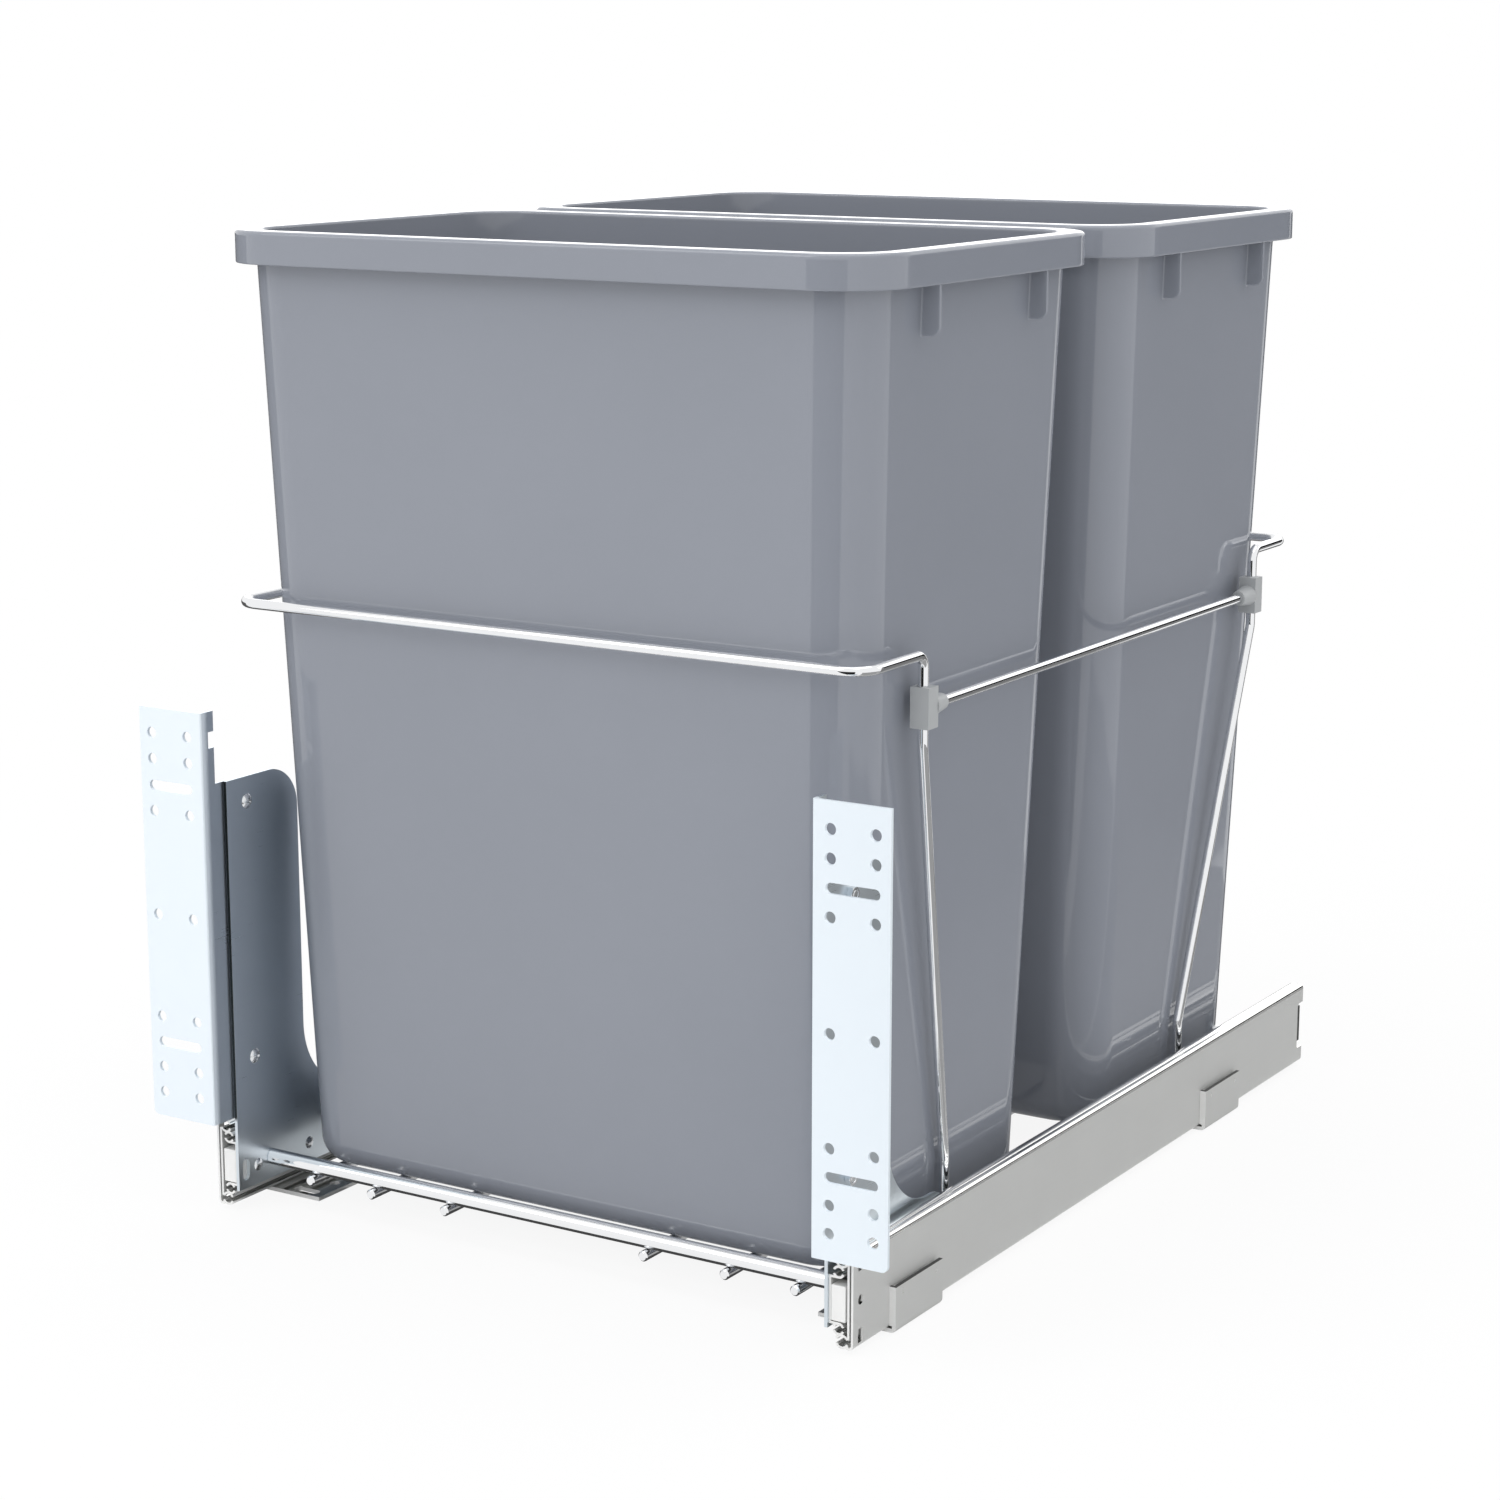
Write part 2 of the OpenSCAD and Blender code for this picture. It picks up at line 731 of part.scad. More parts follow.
module door_holes() {
    for (column = [-1, 1]) {
        for (row = door_rows) {
            for (end = row == 0 ? [1] : [-1, 1]) {
                translate([plate_hole_x + column * door_hole_col / 2, plate_mid_z + end * row])
                    circle(d = door_hole_d);
            }
        }
    }
    for (end = [-1, 1]) {
        translate([plate_hole_x, plate_mid_z + end * slot_row]) slot_outline(door_slot_l, door_slot_w);
    }
}

module door_plate(side) {
    notch_z = plate_z + plate_h - lip_notch_down - lip_notch_h;
    color(bright_zinc) on_side(side) difference() {
        translate([carriage_half, 0, plate_z]) union() {
            linear_extrude(height = plate_h) plate_section(lip_d);
            linear_extrude(height = arm_top - plate_z) plate_section(flange_d);
        }
        translate([carriage_half - cut, lip_d - lip_notch, notch_z])
            cube([plate_t + 2 * cut, lip_notch + cut, lip_notch_h]);
        along_y(-cut, plate_t + cut) {
            door_holes();
            plate_corner_cut();
        }
        for (z = screw_zs) {
            bar_x(carriage_half - cut, carriage_half + plate_t + cut, screw_y, z, screw_hole_d);
        }
    }
}

// Outline of the side arm in Y and Z
module arm_outline() {
    difference() {
        union() {
            translate([arm_front, arm_low_z]) square([arm_d, arm_top - arm_low_z - arm_corner_r]);
            translate([arm_front, arm_low_z]) square([arm_d - arm_corner_r, arm_top - arm_low_z]);
            translate([arm_rear - arm_corner_r, arm_top - arm_corner_r]) circle(r = arm_corner_r);
            translate([arm_front, arm_low_z]) square([arm_foot_l, arm_foot_top - arm_low_z - arm_foot_r]);
            translate([arm_front, arm_low_z]) square([arm_foot_l - arm_foot_r, arm_foot_top - arm_low_z]);
            translate([arm_foot_rear - arm_foot_r, arm_foot_top - arm_foot_r]) circle(r = arm_foot_r);
            difference() {
                translate([arm_rear, arm_foot_top]) square(flare_r);
                translate([arm_rear + flare_r, arm_foot_top + flare_r]) circle(r = flare_r);
            }
        }
        translate([arm_front + arm_slot_in, rivet_z]) rotate(90)
            slot_outline(arm_slot_h, arm_slot_w);
    }
}

module side_arm(side) {
    color(bright_zinc) on_side(side) difference() {
        along_x(arm_face, carriage_half) arm_outline();
        for (y = rivet_ys) {
            bar_x(arm_face - cut, carriage_half + cut, y, rivet_z, rivet_hole_d);
        }
        for (z = screw_zs) {
            bar_x(arm_face - cut, carriage_half + cut, screw_y, z, screw_hole_d);
        }
    }
}

// Plate that ties the rear cross rod to the inner rail
module rear_bracket(side) {
    low = slide_mid_z - inner_half_h;
    color(bright_zinc) on_side(side) difference() {
        translate([arm_face, rear_rod_y - rear_bracket_l / 2, low])
            cube([arm_t, rear_bracket_l, 2 * inner_half_h]);
        for (y = rear_rivet_ys) {
            bar_x(arm_face - cut, carriage_half + cut, y, rivet_z, rivet_hole_d);
        }
    }
}

// Low dome along -X that stands on the face at x
module dome_head(x, y, z, d, h) {
    r = (d * d / 4 + h * h) / (2 * h);
    intersection() {
        translate([x - h + r, y, z]) sphere(r = r);
        bar_x(x - h - cut, x, y, z, d);
    }
}

// Pan-head screw from the arm's inner face through the plate's flange
module plate_screw(side, z) {
    tip = carriage_half + plate_t + nut_t;
    recess_w = 0.22 * screw_d;
    recess_l = 0.9 * screw_d;
    on_side(side) difference() {
        union() {
            dome_head(arm_face, screw_y, z, screw_head_d, screw_head_h);
            bar_x(arm_face - screw_head_h / 2, tip, screw_y, z, screw_d);
        }
        for (turn = [0, 90]) {
            translate([arm_face - screw_head_h, screw_y, z]) rotate([turn, 0, 0])
                cube([screw_head_h, recess_l, recess_w], center = true);
        }
    }
}

module plate_screws() {
    color(chrome) for (side = [LEFT, RIGHT]) {
        for (z = screw_zs) {
            plate_screw(side, z);
        }
    }
}

module plate_nuts() {
    seat = carriage_half + plate_t;
    color(zinc) for (side = [LEFT, RIGHT]) {
        for (z = screw_zs) {
            on_side(side) difference() {
                translate([seat, screw_y, z]) rotate([0, 90, 0]) cylinder(d = nut_across, h = nut_t, $fn = 6);
                bar_x(seat - cut, seat + nut_t + cut, screw_y, z, screw_hole_d);
            }
        }
    }
}

// Rivet from the inner face of an arm or bracket through the inner rail's web
module rail_rivet(side, y) {
    tail = carriage_half + rail_t;
    on_side(side) {
        dome_head(arm_face, y, rivet_z, rivet_head_d, rivet_head_h);
        bar_x(arm_face - rivet_head_h / 2, tail + rivet_tail_h, y, rivet_z, rivet_d);
        bar_x(tail, tail + rivet_tail_h, y, rivet_z, rivet_head_d);
    }
}

module arm_rivets() {
    color(chrome) for (side = [LEFT, RIGHT]) {
        for (y = rivet_ys) {
            rail_rivet(side, y);
        }
    }
}

module rear_rivets() {
    color(chrome) for (side = [LEFT, RIGHT]) {
        for (y = rear_rivet_ys) {
            rail_rivet(side, y);
        }
    }
}

// Wire carriage

module front_cross_rod() {
    color(chrome) in_frame() bar_x(-arm_face, arm_face, rod_front, rod_z, rod_d);
}

module rear_cross_rod() {
    color(chrome) in_frame() bar_x(-arm_face, arm_face, rear_rod_y, rod_z, rod_d);
}

module floor_wires() {
    color(chrome) in_frame() for (x = floor_wire_xs) {
        for (side = [LEFT, RIGHT]) {
            bar_y(rod_front - wire_overrun, rear_rod_y + wire_overrun, side * x, wire_z, wire_d);
        }
    }
}

module side_rod(side) {
    color(chrome) on_side(side) bar_y(side_rod_front, side_rod_rear, side_rod_x, side_rod_z, side_rod_d);
}

// Wire under the floor wires whose turned-up ends carry the side rods
module cradle_wire(y) {
    top = side_rod_z - side_rod_d / 2 - weld_gap;
    points = [
        [-side_rod_x, y, top],
        [-side_rod_x, y, cradle_z],
        [side_rod_x, y, cradle_z],
        [side_rod_x, y, top]
    ];
    color(chrome) in_frame() bent_wire(points, [0, cradle_r, cradle_r, 0], wire_d);
}

// Hoop round a bin, with a slanted leg at each end that stands on a side rod
module hoop(hoop_y, leg_y, foot_y) {
    upper = [
        [hoop_half_w, leg_y, leg_kink_z],
        [hoop_half_w, leg_y, hoop_z],
        [hoop_half_w, hoop_y, hoop_z],
        [-hoop_half_w, hoop_y, hoop_z],
        [-hoop_half_w, leg_y, hoop_z],
        [-hoop_half_w, leg_y, leg_kink_z]
    ];
    radii = [0, leg_bend_r, hoop_corner_r, hoop_corner_r, leg_bend_r, 0];
    color(chrome) in_frame() {
        bent_wire(upper, radii, hoop_d);
        for (side = [LEFT, RIGHT]) {
            kink = [side * hoop_half_w, leg_y, leg_kink_z];
            foot = [side * side_rod_x, foot_y, leg_foot_z];
            straight_wire(foot, kink, hoop_d);
            translate([side * side_rod_x, foot_y, leg_end_z]) cylinder(d = hoop_d, h = leg_foot);
            for (knuckle = [kink, foot]) {
                translate(knuckle) sphere(d = knuckle_d);
            }
        }
    }
}

module front_hoop() {
    hoop(front_hoop_y, front_leg_y, front_foot_y);
}

module rear_hoop() {
    hoop(rear_hoop_y, rear_leg_y, rear_foot_y);
}

// Guard clips hold the guard rods between the legs of the two hoops

module clip(side, end, leg_y) {
    block_y = leg_y - end * clip_shift;
    block_end = block_y - end * clip_d / 2;
    boss_end = block_end - end * boss_l;
    bore_mouth = boss_end - end * cut;
    bore_end = boss_end + end * (guard_bite + stop_gap);
    low = guard_z - clip_h / 2;
    bore_d = hoop_d + 2 * hole_clear;
    color(clip_grey) on_side(side) difference() {
        union() {
            translate([hoop_half_w - clip_w / 2, block_y - clip_d / 2, low]) cube([clip_w, clip_d, clip_h]);
            translate([hoop_half_w, block_end + end * boss_merge, guard_z]) rotate([end * 90, 0, 0])
                cylinder(d1 = boss_d, d2 = boss_tip_d, h = boss_l + boss_merge);
        }
        translate([hoop_half_w, leg_y, low - cut]) cylinder(d = bore_d, h = clip_h + 2 * cut);
        bar_y(min(bore_end, bore_mouth), max(bore_end, bore_mouth), hoop_half_w, guard_z, bore_d);
    }
}

module guard_rod(side) {
    reach = clip_shift + clip_d / 2 + boss_l - guard_bite;
    color(chrome) on_side(side)
        bar_y(front_leg_y + reach, rear_leg_y - reach, hoop_half_w, guard_z, hoop_d);
}

// Bins

// Solid with leaning walls and a rounded floor edge, set in by an even margin
module leaning_block(inset, floor_z, top_z) {
    fillet = max(base_fillet - inset, 1);
    slope = bin_taper / wall_rise;
    hull() {
        for (turn = [0:22.5:90]) {
            z = floor_z + fillet * (1 - sin(turn));
            bin_layer(z, inset + fillet * (1 - cos(turn)) - slope * z);
        }
        bin_layer(top_z, inset - slope * top_z);
    }
}

// Thin slice of a bin at one height; inset is measured from the floor's plan
module bin_layer(z, inset) {
    slice = 0.01;
    r = max(body_r - max(inset, 0), 1);
    translate([0, 0, z]) linear_extrude(height = slice)
        rounded_plan(2 * (base_half_w - inset), 2 * (base_half_d - inset), r, $fn = 32);
}

// Collar round the mouth: a flat lip with a skirt that hangs clear of the wall
module collar() {
    mouth_in = collar_out - bin_taper * collar_h / wall_rise + bin_wall;
    translate([0, 0, wall_rise]) difference() {
        linear_extrude(height = collar_h) rounded_plan(bin_w, bin_d, collar_r);
        translate([0, 0, -cut]) linear_extrude(height = collar_h - collar_t + cut)
            rounded_plan(bin_w - 2 * collar_t, bin_d - 2 * collar_t, collar_r - collar_t);
        translate([0, 0, collar_h - collar_t - cut]) linear_extrude(height = collar_t + 2 * cut)
            rounded_plan(bin_w - 2 * mouth_in, bin_d - 2 * mouth_in, body_r - bin_wall);
    }
}

// Fins that brace the collar against the side walls, with a round lower corner
module collar_fins() {
    root = wall_half_w - bin_wall;
    face = wall_half_w + collar_out - fin_in;
    low = wall_rise - fin_h;
    top = wall_rise + collar_h - collar_t / 2;
    for (side = [LEFT, RIGHT]) {
        for (end = [FRONT, REAR]) {
            y = end * fin_span / 2;
            mirror([side == LEFT ? 1 : 0, 0, 0]) along_y(y - fin_t / 2, y + fin_t / 2) {
                translate([root, low]) square([face - fin_corner_r - root, top - low]);
                translate([root, low + fin_corner_r]) square([face - root, top - low - fin_corner_r]);
                translate([face - fin_corner_r, low + fin_corner_r]) circle(r = fin_corner_r);
            }
        }
    }
}

module bin(y) {
    color(bin_grey) in_frame() translate([0, y, bin_base_z]) {
        difference() {
            union() {
                leaning_block(0, 0, bin_h - collar_t / 2);
                collar_fins();
            }
            leaning_block(bin_wall, bin_wall, bin_h + cut);
        }
        collar();
    }
}

outer_rail(LEFT);  // left_outer_rail
outer_rail(RIGHT);  // right_outer_rail
rear_bumper(LEFT);  // left_rear_bumper
rear_bumper(RIGHT);  // right_rear_bumper
foot_bracket(LEFT, foot_ys[0]);  // front_left_foot_bracket
foot_bracket(RIGHT, foot_ys[0]);  // front_right_foot_bracket
foot_bracket(LEFT, foot_ys[1]);  // rear_left_foot_bracket
foot_bracket(RIGHT, foot_ys[1]);  // rear_right_foot_bracket
middle_rail(LEFT);  // left_middle_rail
middle_rail(RIGHT);  // right_middle_rail
outer_cage(LEFT);  // left_outer_cage
outer_cage(RIGHT);  // right_outer_cage
inner_cage(LEFT);  // left_inner_cage
inner_cage(RIGHT);  // right_inner_cage
outer_balls(LEFT);  // left_outer_balls
outer_balls(RIGHT);  // right_outer_balls
inner_balls(LEFT);  // left_inner_balls
inner_balls(RIGHT);  // right_inner_balls
inner_rail(LEFT);  // left_inner_rail
inner_rail(RIGHT);  // right_inner_rail
front_cap(LEFT);  // left_front_cap
front_cap(RIGHT);  // right_front_cap
side_arm(LEFT);  // left_side_arm
side_arm(RIGHT);  // right_side_arm
door_plate(LEFT);  // left_door_plate
door_plate(RIGHT);  // right_door_plate
plate_screws();
plate_nuts();
arm_rivets();
rear_rivets();
rear_bracket(LEFT);  // left_rear_bracket
rear_bracket(RIGHT);  // right_rear_bracket
front_cross_rod();
rear_cross_rod();
floor_wires();
side_rod(LEFT);  // left_side_rod
side_rod(RIGHT);  // right_side_rod
cradle_wire(front_foot_y);  // front_cradle_wire
cradle_wire(rear_foot_y);  // rear_cradle_wire
front_hoop();
rear_hoop();
guard_rod(LEFT);  // left_guard_rod
guard_rod(RIGHT);  // right_guard_rod
clip(LEFT, FRONT, front_leg_y);  // front_left_clip
clip(RIGHT, FRONT, front_leg_y);  // front_right_clip
clip(LEFT, REAR, rear_leg_y);  // rear_left_clip
clip(RIGHT, REAR, rear_leg_y);  // rear_right_clip
bin(front_bin_y);  // front_bin
bin(rear_bin_y);  // rear_bin
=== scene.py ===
"""Looks of the pull-out bin frame: two glossy bins in a chrome wire carriage on zinc slides."""
import json
from math import atan2, cos, pi, radians, sin

import bmesh
import bpy
from mathutils import Matrix, Vector


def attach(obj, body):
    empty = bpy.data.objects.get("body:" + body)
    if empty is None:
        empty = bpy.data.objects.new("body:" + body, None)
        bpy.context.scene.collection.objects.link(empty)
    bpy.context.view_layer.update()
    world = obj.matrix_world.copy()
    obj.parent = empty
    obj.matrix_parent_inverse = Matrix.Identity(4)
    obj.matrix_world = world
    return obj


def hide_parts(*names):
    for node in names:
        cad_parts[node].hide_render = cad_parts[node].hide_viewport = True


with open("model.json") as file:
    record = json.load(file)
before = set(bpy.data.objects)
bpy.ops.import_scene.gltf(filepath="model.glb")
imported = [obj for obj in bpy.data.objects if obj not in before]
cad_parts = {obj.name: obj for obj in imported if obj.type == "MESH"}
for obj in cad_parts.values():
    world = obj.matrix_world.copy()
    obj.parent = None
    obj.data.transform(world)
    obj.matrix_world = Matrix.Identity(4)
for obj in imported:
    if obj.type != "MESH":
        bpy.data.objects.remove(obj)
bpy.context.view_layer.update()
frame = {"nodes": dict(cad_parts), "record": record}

MM = 0.001
# Edges that turn by more degrees than this stay sharp in shading and are softened on sheet metal
SHARP_ANGLE = 35

# Sizes that the pieces share with the part's source, in millimetres.
# Y is counted from the front face of the door plates, as in the source.
FRAME_DEPTH = 524.0
BIN_FLOOR_Z = 18.25
BIN_HEIGHT = 465.75
BIN_WALL = 2.5
BIN_LEAN = 14.0
BIN_BASE_HALF = (158.5, 89.5)
BIN_CORNER_R = 26.0
BIN_BASE_FILLET = 12.0
COLLAR_HALF = (182.0, 113.0)
COLLAR_HEIGHT = 15.7
COLLAR_T = 2.2
COLLAR_R = 34.0
BIN_YS = {"front": 141.1, "rear": 388.7}
FIN_SPAN, FIN_T, FIN_DOWN, FIN_FACE, FIN_CORNER_R = 102.2, 2.3, 22.5, 181.2, 4.0
FIN_ROOT_R = 1.0
ARM_FACE = 169.0
ROD_D, ROD_Z, ROD_YS = 8.0, 22.0, {"front": 40.7, "rear": 489.0}
WIRE_D, WIRE_Z, WIRE_XS = 5.2, 15.35, (58.0, 103.0, 141.0)
WIRE_OVERRUN = 5.2
SIDE_ROD_D, SIDE_ROD_X, SIDE_ROD_Z, SIDE_ROD_YS = 6.0, 163.5, 27.0, (90.0, 462.2)
CRADLE_Z, CRADLE_TOP, CRADLE_R = 10.1, 23.95, 8.0
HOOP_D, HOOP_Z, HOOP_HALF = 5.0, 305.0, 175.62
HOOPS = {"front": (34.48, 87.88, 135.28), "rear": (495.32, 450.12, 397.02)}
HOOP_CORNER_R, LEG_BEND_R, KINK_R = 12.0, 6.0, 14.0
LEG_KINK_Z, LEG_FOOT_Z, LEG_END_Z = 264.0, 54.05, 30.05
GUARD_Z, GUARD_YS = 281.0, (98.98, 439.02)
SCREW_Y, SCREW_ZS, SCREW_D, SCREW_HEAD_H, SCREW_TIP = 30.0, (77.5, 207.5), 4.0, 1.6, 6.2
NUT_SEAT, NUT_T = 172.4, 2.8
RIVET_Z, ARM_RIVET_YS, REAR_RIVET_YS = 20.8, (30.0, 70.0, 110.0), (479.0, 499.0)
RIVET_D, RIVET_HEAD_H, RIVET_TAIL, RIVET_TAIL_H = 4.0, 1.2, 2.9, 0.8
UPRIGHT_FACE, UPRIGHT_H, FOOT_BEND_R = 186.8, 22.0, 2.4


def at(x, y, z):
    """A point of the model's frame, in metres, from the source's millimetres."""
    return Vector((x, y - FRAME_DEPTH / 2, z)) * MM


# Node graphs

class Field:
    """A node's output that takes part in plain arithmetic."""

    def __init__(self, graph, socket):
        self.graph, self.socket = graph, socket

    def maths(self, operation, a, b):
        return self.graph.node("ShaderNodeMath", {"operation": operation}, {0: a, 1: b})

    def __add__(self, other):
        return self.maths("ADD", self, other)

    def __radd__(self, other):
        return self.maths("ADD", other, self)

    def __sub__(self, other):
        return self.maths("SUBTRACT", self, other)

    def __rsub__(self, other):
        return self.maths("SUBTRACT", other, self)

    def __mul__(self, other):
        return self.maths("MULTIPLY", self, other)

    def __rmul__(self, other):
        return self.maths("MULTIPLY", other, self)

    def __abs__(self):
        return self.graph.node("ShaderNodeMath", {"operation": "ABSOLUTE"}, {0: self})


class Graph:
    """A node tree that is built only through node()."""

    def __init__(self, tree):
        self.tree = tree
        tree.nodes.clear()

    def node(self, kind, settings=None, inputs=None, output=0):
        made = self.tree.nodes.new(kind)
        for name, value in (settings or {}).items():
            setattr(made, name, value)
        for key, value in (inputs or {}).items():
            if isinstance(value, Field):
                self.tree.links.new(value.socket, made.inputs[key])
            else:
                made.inputs[key].default_value = value
        return Field(self, made.outputs[output] if made.outputs else None)

    def seen_ray(self):
        """1 for rays from the camera and from mirrors and glass, 0 for light that spreads."""
        camera, glossy, through = (
            self.node("ShaderNodeLightPath", output=ray)
            for ray in ("Is Camera Ray", "Is Glossy Ray", "Is Transmission Ray")
        )
        return self.node("ShaderNodeMath", {"operation": "MINIMUM"}, {0: camera + glossy + through, 1: 1.0})


class Finish(Graph):
    """A material whose pattern is fixed to the piece that wears it."""

    def __init__(self, name):
        self.material = bpy.data.materials.new(name)
        self.material.use_nodes = True
        super().__init__(self.material.node_tree)
        self.place = self.node("ShaderNodeTexCoord", output="Object")

    def noise(self, scale, detail=2.0, stretch=(1, 1, 1)):
        """Noise with about this many blotches to a metre along each axis."""
        spot = self.node("ShaderNodeMapping", {}, {"Vector": self.place, "Scale": [scale * s for s in stretch]})
        return self.node("ShaderNodeTexNoise", {}, {"Vector": spot, "Scale": 1.0, "Detail": detail})

    def between(self, factor, low, high):
        """A colour between two colours."""
        ends = [colour if isinstance(colour, Field) else (*colour, 1) for colour in (low, high)]
        return self.node("ShaderNodeMix", {"data_type": "RGBA"}, {0: factor, 6: ends[0], 7: ends[1]}, 2)

    def part(self, vector, axis):
        """One of a vector's three numbers."""
        return self.node("ShaderNodeSeparateXYZ", {}, {"Vector": vector}, axis)

    def ramp(self, value, start, end, low=0.0, high=1.0):
        """A value that runs from low to high while another runs from start to end."""
        return self.node("ShaderNodeMapRange", {}, {
            "Value": value, "From Min": start, "From Max": end, "To Min": low, "To Max": high,
        })

    def facing(self, axis):
        """How far a surface faces along an axis, from -1 to 1."""
        return self.part(self.node("ShaderNodeNewGeometry", output="Normal"), axis)

    def end_on(self):
        """1 on surfaces that face the front or the rear, such as cut ends, and 0 on the sides."""
        return self.ramp(abs(self.facing("Y")), 0.6, 0.9)

    def bump(self, height, strength, distance):
        return self.node("ShaderNodeBump", {}, {"Strength": strength, "Distance": distance, "Height": height})

    def shade(self, inputs):
        shader = self.node("ShaderNodeBsdfPrincipled", {}, inputs)
        self.node("ShaderNodeOutputMaterial", {}, {"Surface": shader})
        return self.material


# Finishes

def bin_plastic():
    f = Finish("glossy_grey_bin_plastic")
    cloud = f.noise(11, 3)
    grain = f.noise(2400, 2)
    return f.shade({
        "Base Color": f.between(0.6 * cloud + 0.4 * grain, (0.25, 0.268, 0.308), (0.28, 0.298, 0.342)),
        "Roughness": 0.03 + 0.03 * cloud + 0.02 * grain,
        "IOR": 1.5,
        "Normal": f.bump(grain, 0.03, 0.00003),
    })


def chrome():
    f = Finish("chrome_plated_wire")
    cloud = f.noise(60, 3)
    return f.shade({
        "Base Color": f.between(cloud, (0.83, 0.84, 0.855), (0.9, 0.905, 0.915)),
        "Metallic": 1.0,
        "Roughness": 0.012 + 0.03 * cloud,
    })


def rolled_zinc(f):
    """Clouds of a zinc plating, and the fine rolling marks of its sheet along Y."""
    return f.noise(45, 4), f.noise(1900, 3, (1, 0.012, 1))


def rail_zinc():
    """Satin zinc on webs, polished on faces that look up and on rolled upper corners, and painted pale on faces
    that face the front or rear, such as cut ends, as painted light.

    The brackets' upper edges are painted near black: painted shade of the dark gap beside the slides.
    """
    f = Finish("rolled_zinc_rail")
    cloud, streaks = rolled_zinc(f)
    pattern = 0.55 * cloud + 0.45 * streaks
    height = f.part(f.place, "Z")
    web_top, corner_start = (at(0, 0, z).z for z in (44.0, 44.8))
    # Painted light: faces that face the front or rear get a pale, nearly matt tone, standing in for the light
    # that the lit front returns and ends catch.
    ends = f.end_on()
    corner, upward = f.ramp(height, web_top, corner_start), f.ramp(f.facing("Z"), 0.5, 0.8)
    polished = (corner + upward - corner * upward) * (1 - ends)
    # Painted shade: up-facing faces at the brackets' top edge are painted near black, standing in for the
    # shadowed gap beside the slide.
    off_edge = abs(height - at(0, 0, UPRIGHT_H).z)
    edge_near, edge_far = 0.0008, 0.0012
    painted_edge_shade = f.ramp(off_edge, edge_near, edge_far, 1.0, 0.0) * f.ramp(f.facing("Z"), 0.35, 0.65)
    satin_tone = f.between(pattern, (0.64, 0.645, 0.635), (0.70, 0.705, 0.695))
    bright_tone = f.between(pattern, (0.85, 0.85, 0.835), (0.92, 0.92, 0.905))
    pale_tone = f.between(pattern, (0.83, 0.83, 0.82), (0.90, 0.90, 0.89))
    plated = f.between(ends, f.between(polished, satin_tone, bright_tone), pale_tone)
    return f.shade({
        "Base Color": f.between(painted_edge_shade, plated, (0.02, 0.02, 0.02)),
        "Metallic": 0.5 + 0.5 * polished - 0.4 * ends,
        "Roughness": 0.485 - 0.45 * polished - 0.1 * ends + 0.05 * streaks + 0.03 * cloud,
        "Normal": f.bump(streaks, 0.04, 0.00004),
    })


def plate_zinc():
    """Pale zinc on the door plates' faces and satin on the flanges and arms.

    The arms' front edges above the slides are painted near black: painted shade along those edges.
    """
    f = Finish("bright_zinc_plate")
    cloud, streaks = rolled_zinc(f)
    pattern = 0.55 * cloud + 0.45 * streaks
    face_end, satin_start = (at(0, y, 0).y for y in (2.0, 5.0))
    face = f.ramp(f.part(f.place, "Y"), face_end, satin_start, 1.0, 0.0)
    # Painted shade: front-facing faces of the arms above the slides are painted near black, standing in for the
    # dark line along their front edges.
    slide_top, edge_start = (at(0, 0, z).z for z in (47.0, 49.0))
    above = f.ramp(f.part(f.place, "Z"), slide_top, edge_start)
    painted_edge_shade = above * f.ramp(f.facing("Y"), -0.6, -0.9) * (1 - face)
    pale_tone = f.between(pattern, (0.83, 0.905, 0.97), (0.87, 0.94, 1.0))
    satin_tone = f.between(pattern, (0.66, 0.725, 0.775), (0.71, 0.77, 0.815))
    plated = f.between(face, satin_tone, pale_tone)
    return f.shade({
        "Base Color": f.between(painted_edge_shade, plated, (0.04, 0.045, 0.05)),
        "Metallic": 1 - 0.75 * face,
        "Roughness": 0.22 + 0.06 * face + 0.10 * streaks + 0.06 * cloud,
        "Normal": f.bump(streaks, 0.05, 0.00004),
    })


def fastener_steel():
    f = Finish("plated_fastener_steel")
    cloud = f.noise(300, 2)
    return f.shade({
        "Base Color": f.between(cloud, (0.68, 0.7, 0.72), (0.82, 0.84, 0.86)),
        "Metallic": 1.0,
        "Roughness": 0.14 + 0.12 * cloud,
    })


def cage_steel():
    f = Finish("pressed_cage_steel")
    cloud = f.noise(200, 2)
    return f.shade({
        "Base Color": f.between(cloud, (0.3, 0.3, 0.3), (0.4, 0.4, 0.395)),
        "Metallic": 1.0,
        "Roughness": 0.3 + 0.15 * cloud,
    })


def ball_steel():
    f = Finish("bearing_ball_steel")
    cloud = f.noise(500, 1)
    return f.shade({
        "Base Color": f.between(cloud, (0.7, 0.7, 0.71), (0.78, 0.78, 0.79)),
        "Metallic": 1.0,
        "Roughness": 0.06 + 0.05 * cloud,
    })


def moulded_plastic(name, low, high, roughness):
    f = Finish(name)
    cloud = f.noise(90, 2)
    grain = f.noise(3200, 2)
    return f.shade({
        "Base Color": f.between(0.5 * cloud + 0.5 * grain, low, high),
        "Roughness": roughness + 0.12 * grain,
        "Normal": f.bump(grain, 0.15, 0.00005),
    })


def clip_plastic():
    return moulded_plastic("satin_grey_clip_plastic", (0.40, 0.415, 0.425), (0.46, 0.475, 0.485), 0.32)


def cap_plastic():
    return moulded_plastic("white_cap_plastic", (0.88, 0.88, 0.87), (0.94, 0.94, 0.93), 0.35)


def dark_plastic():
    return moulded_plastic("dark_bumper_plastic", (0.018, 0.018, 0.019), (0.03, 0.03, 0.031), 0.4)


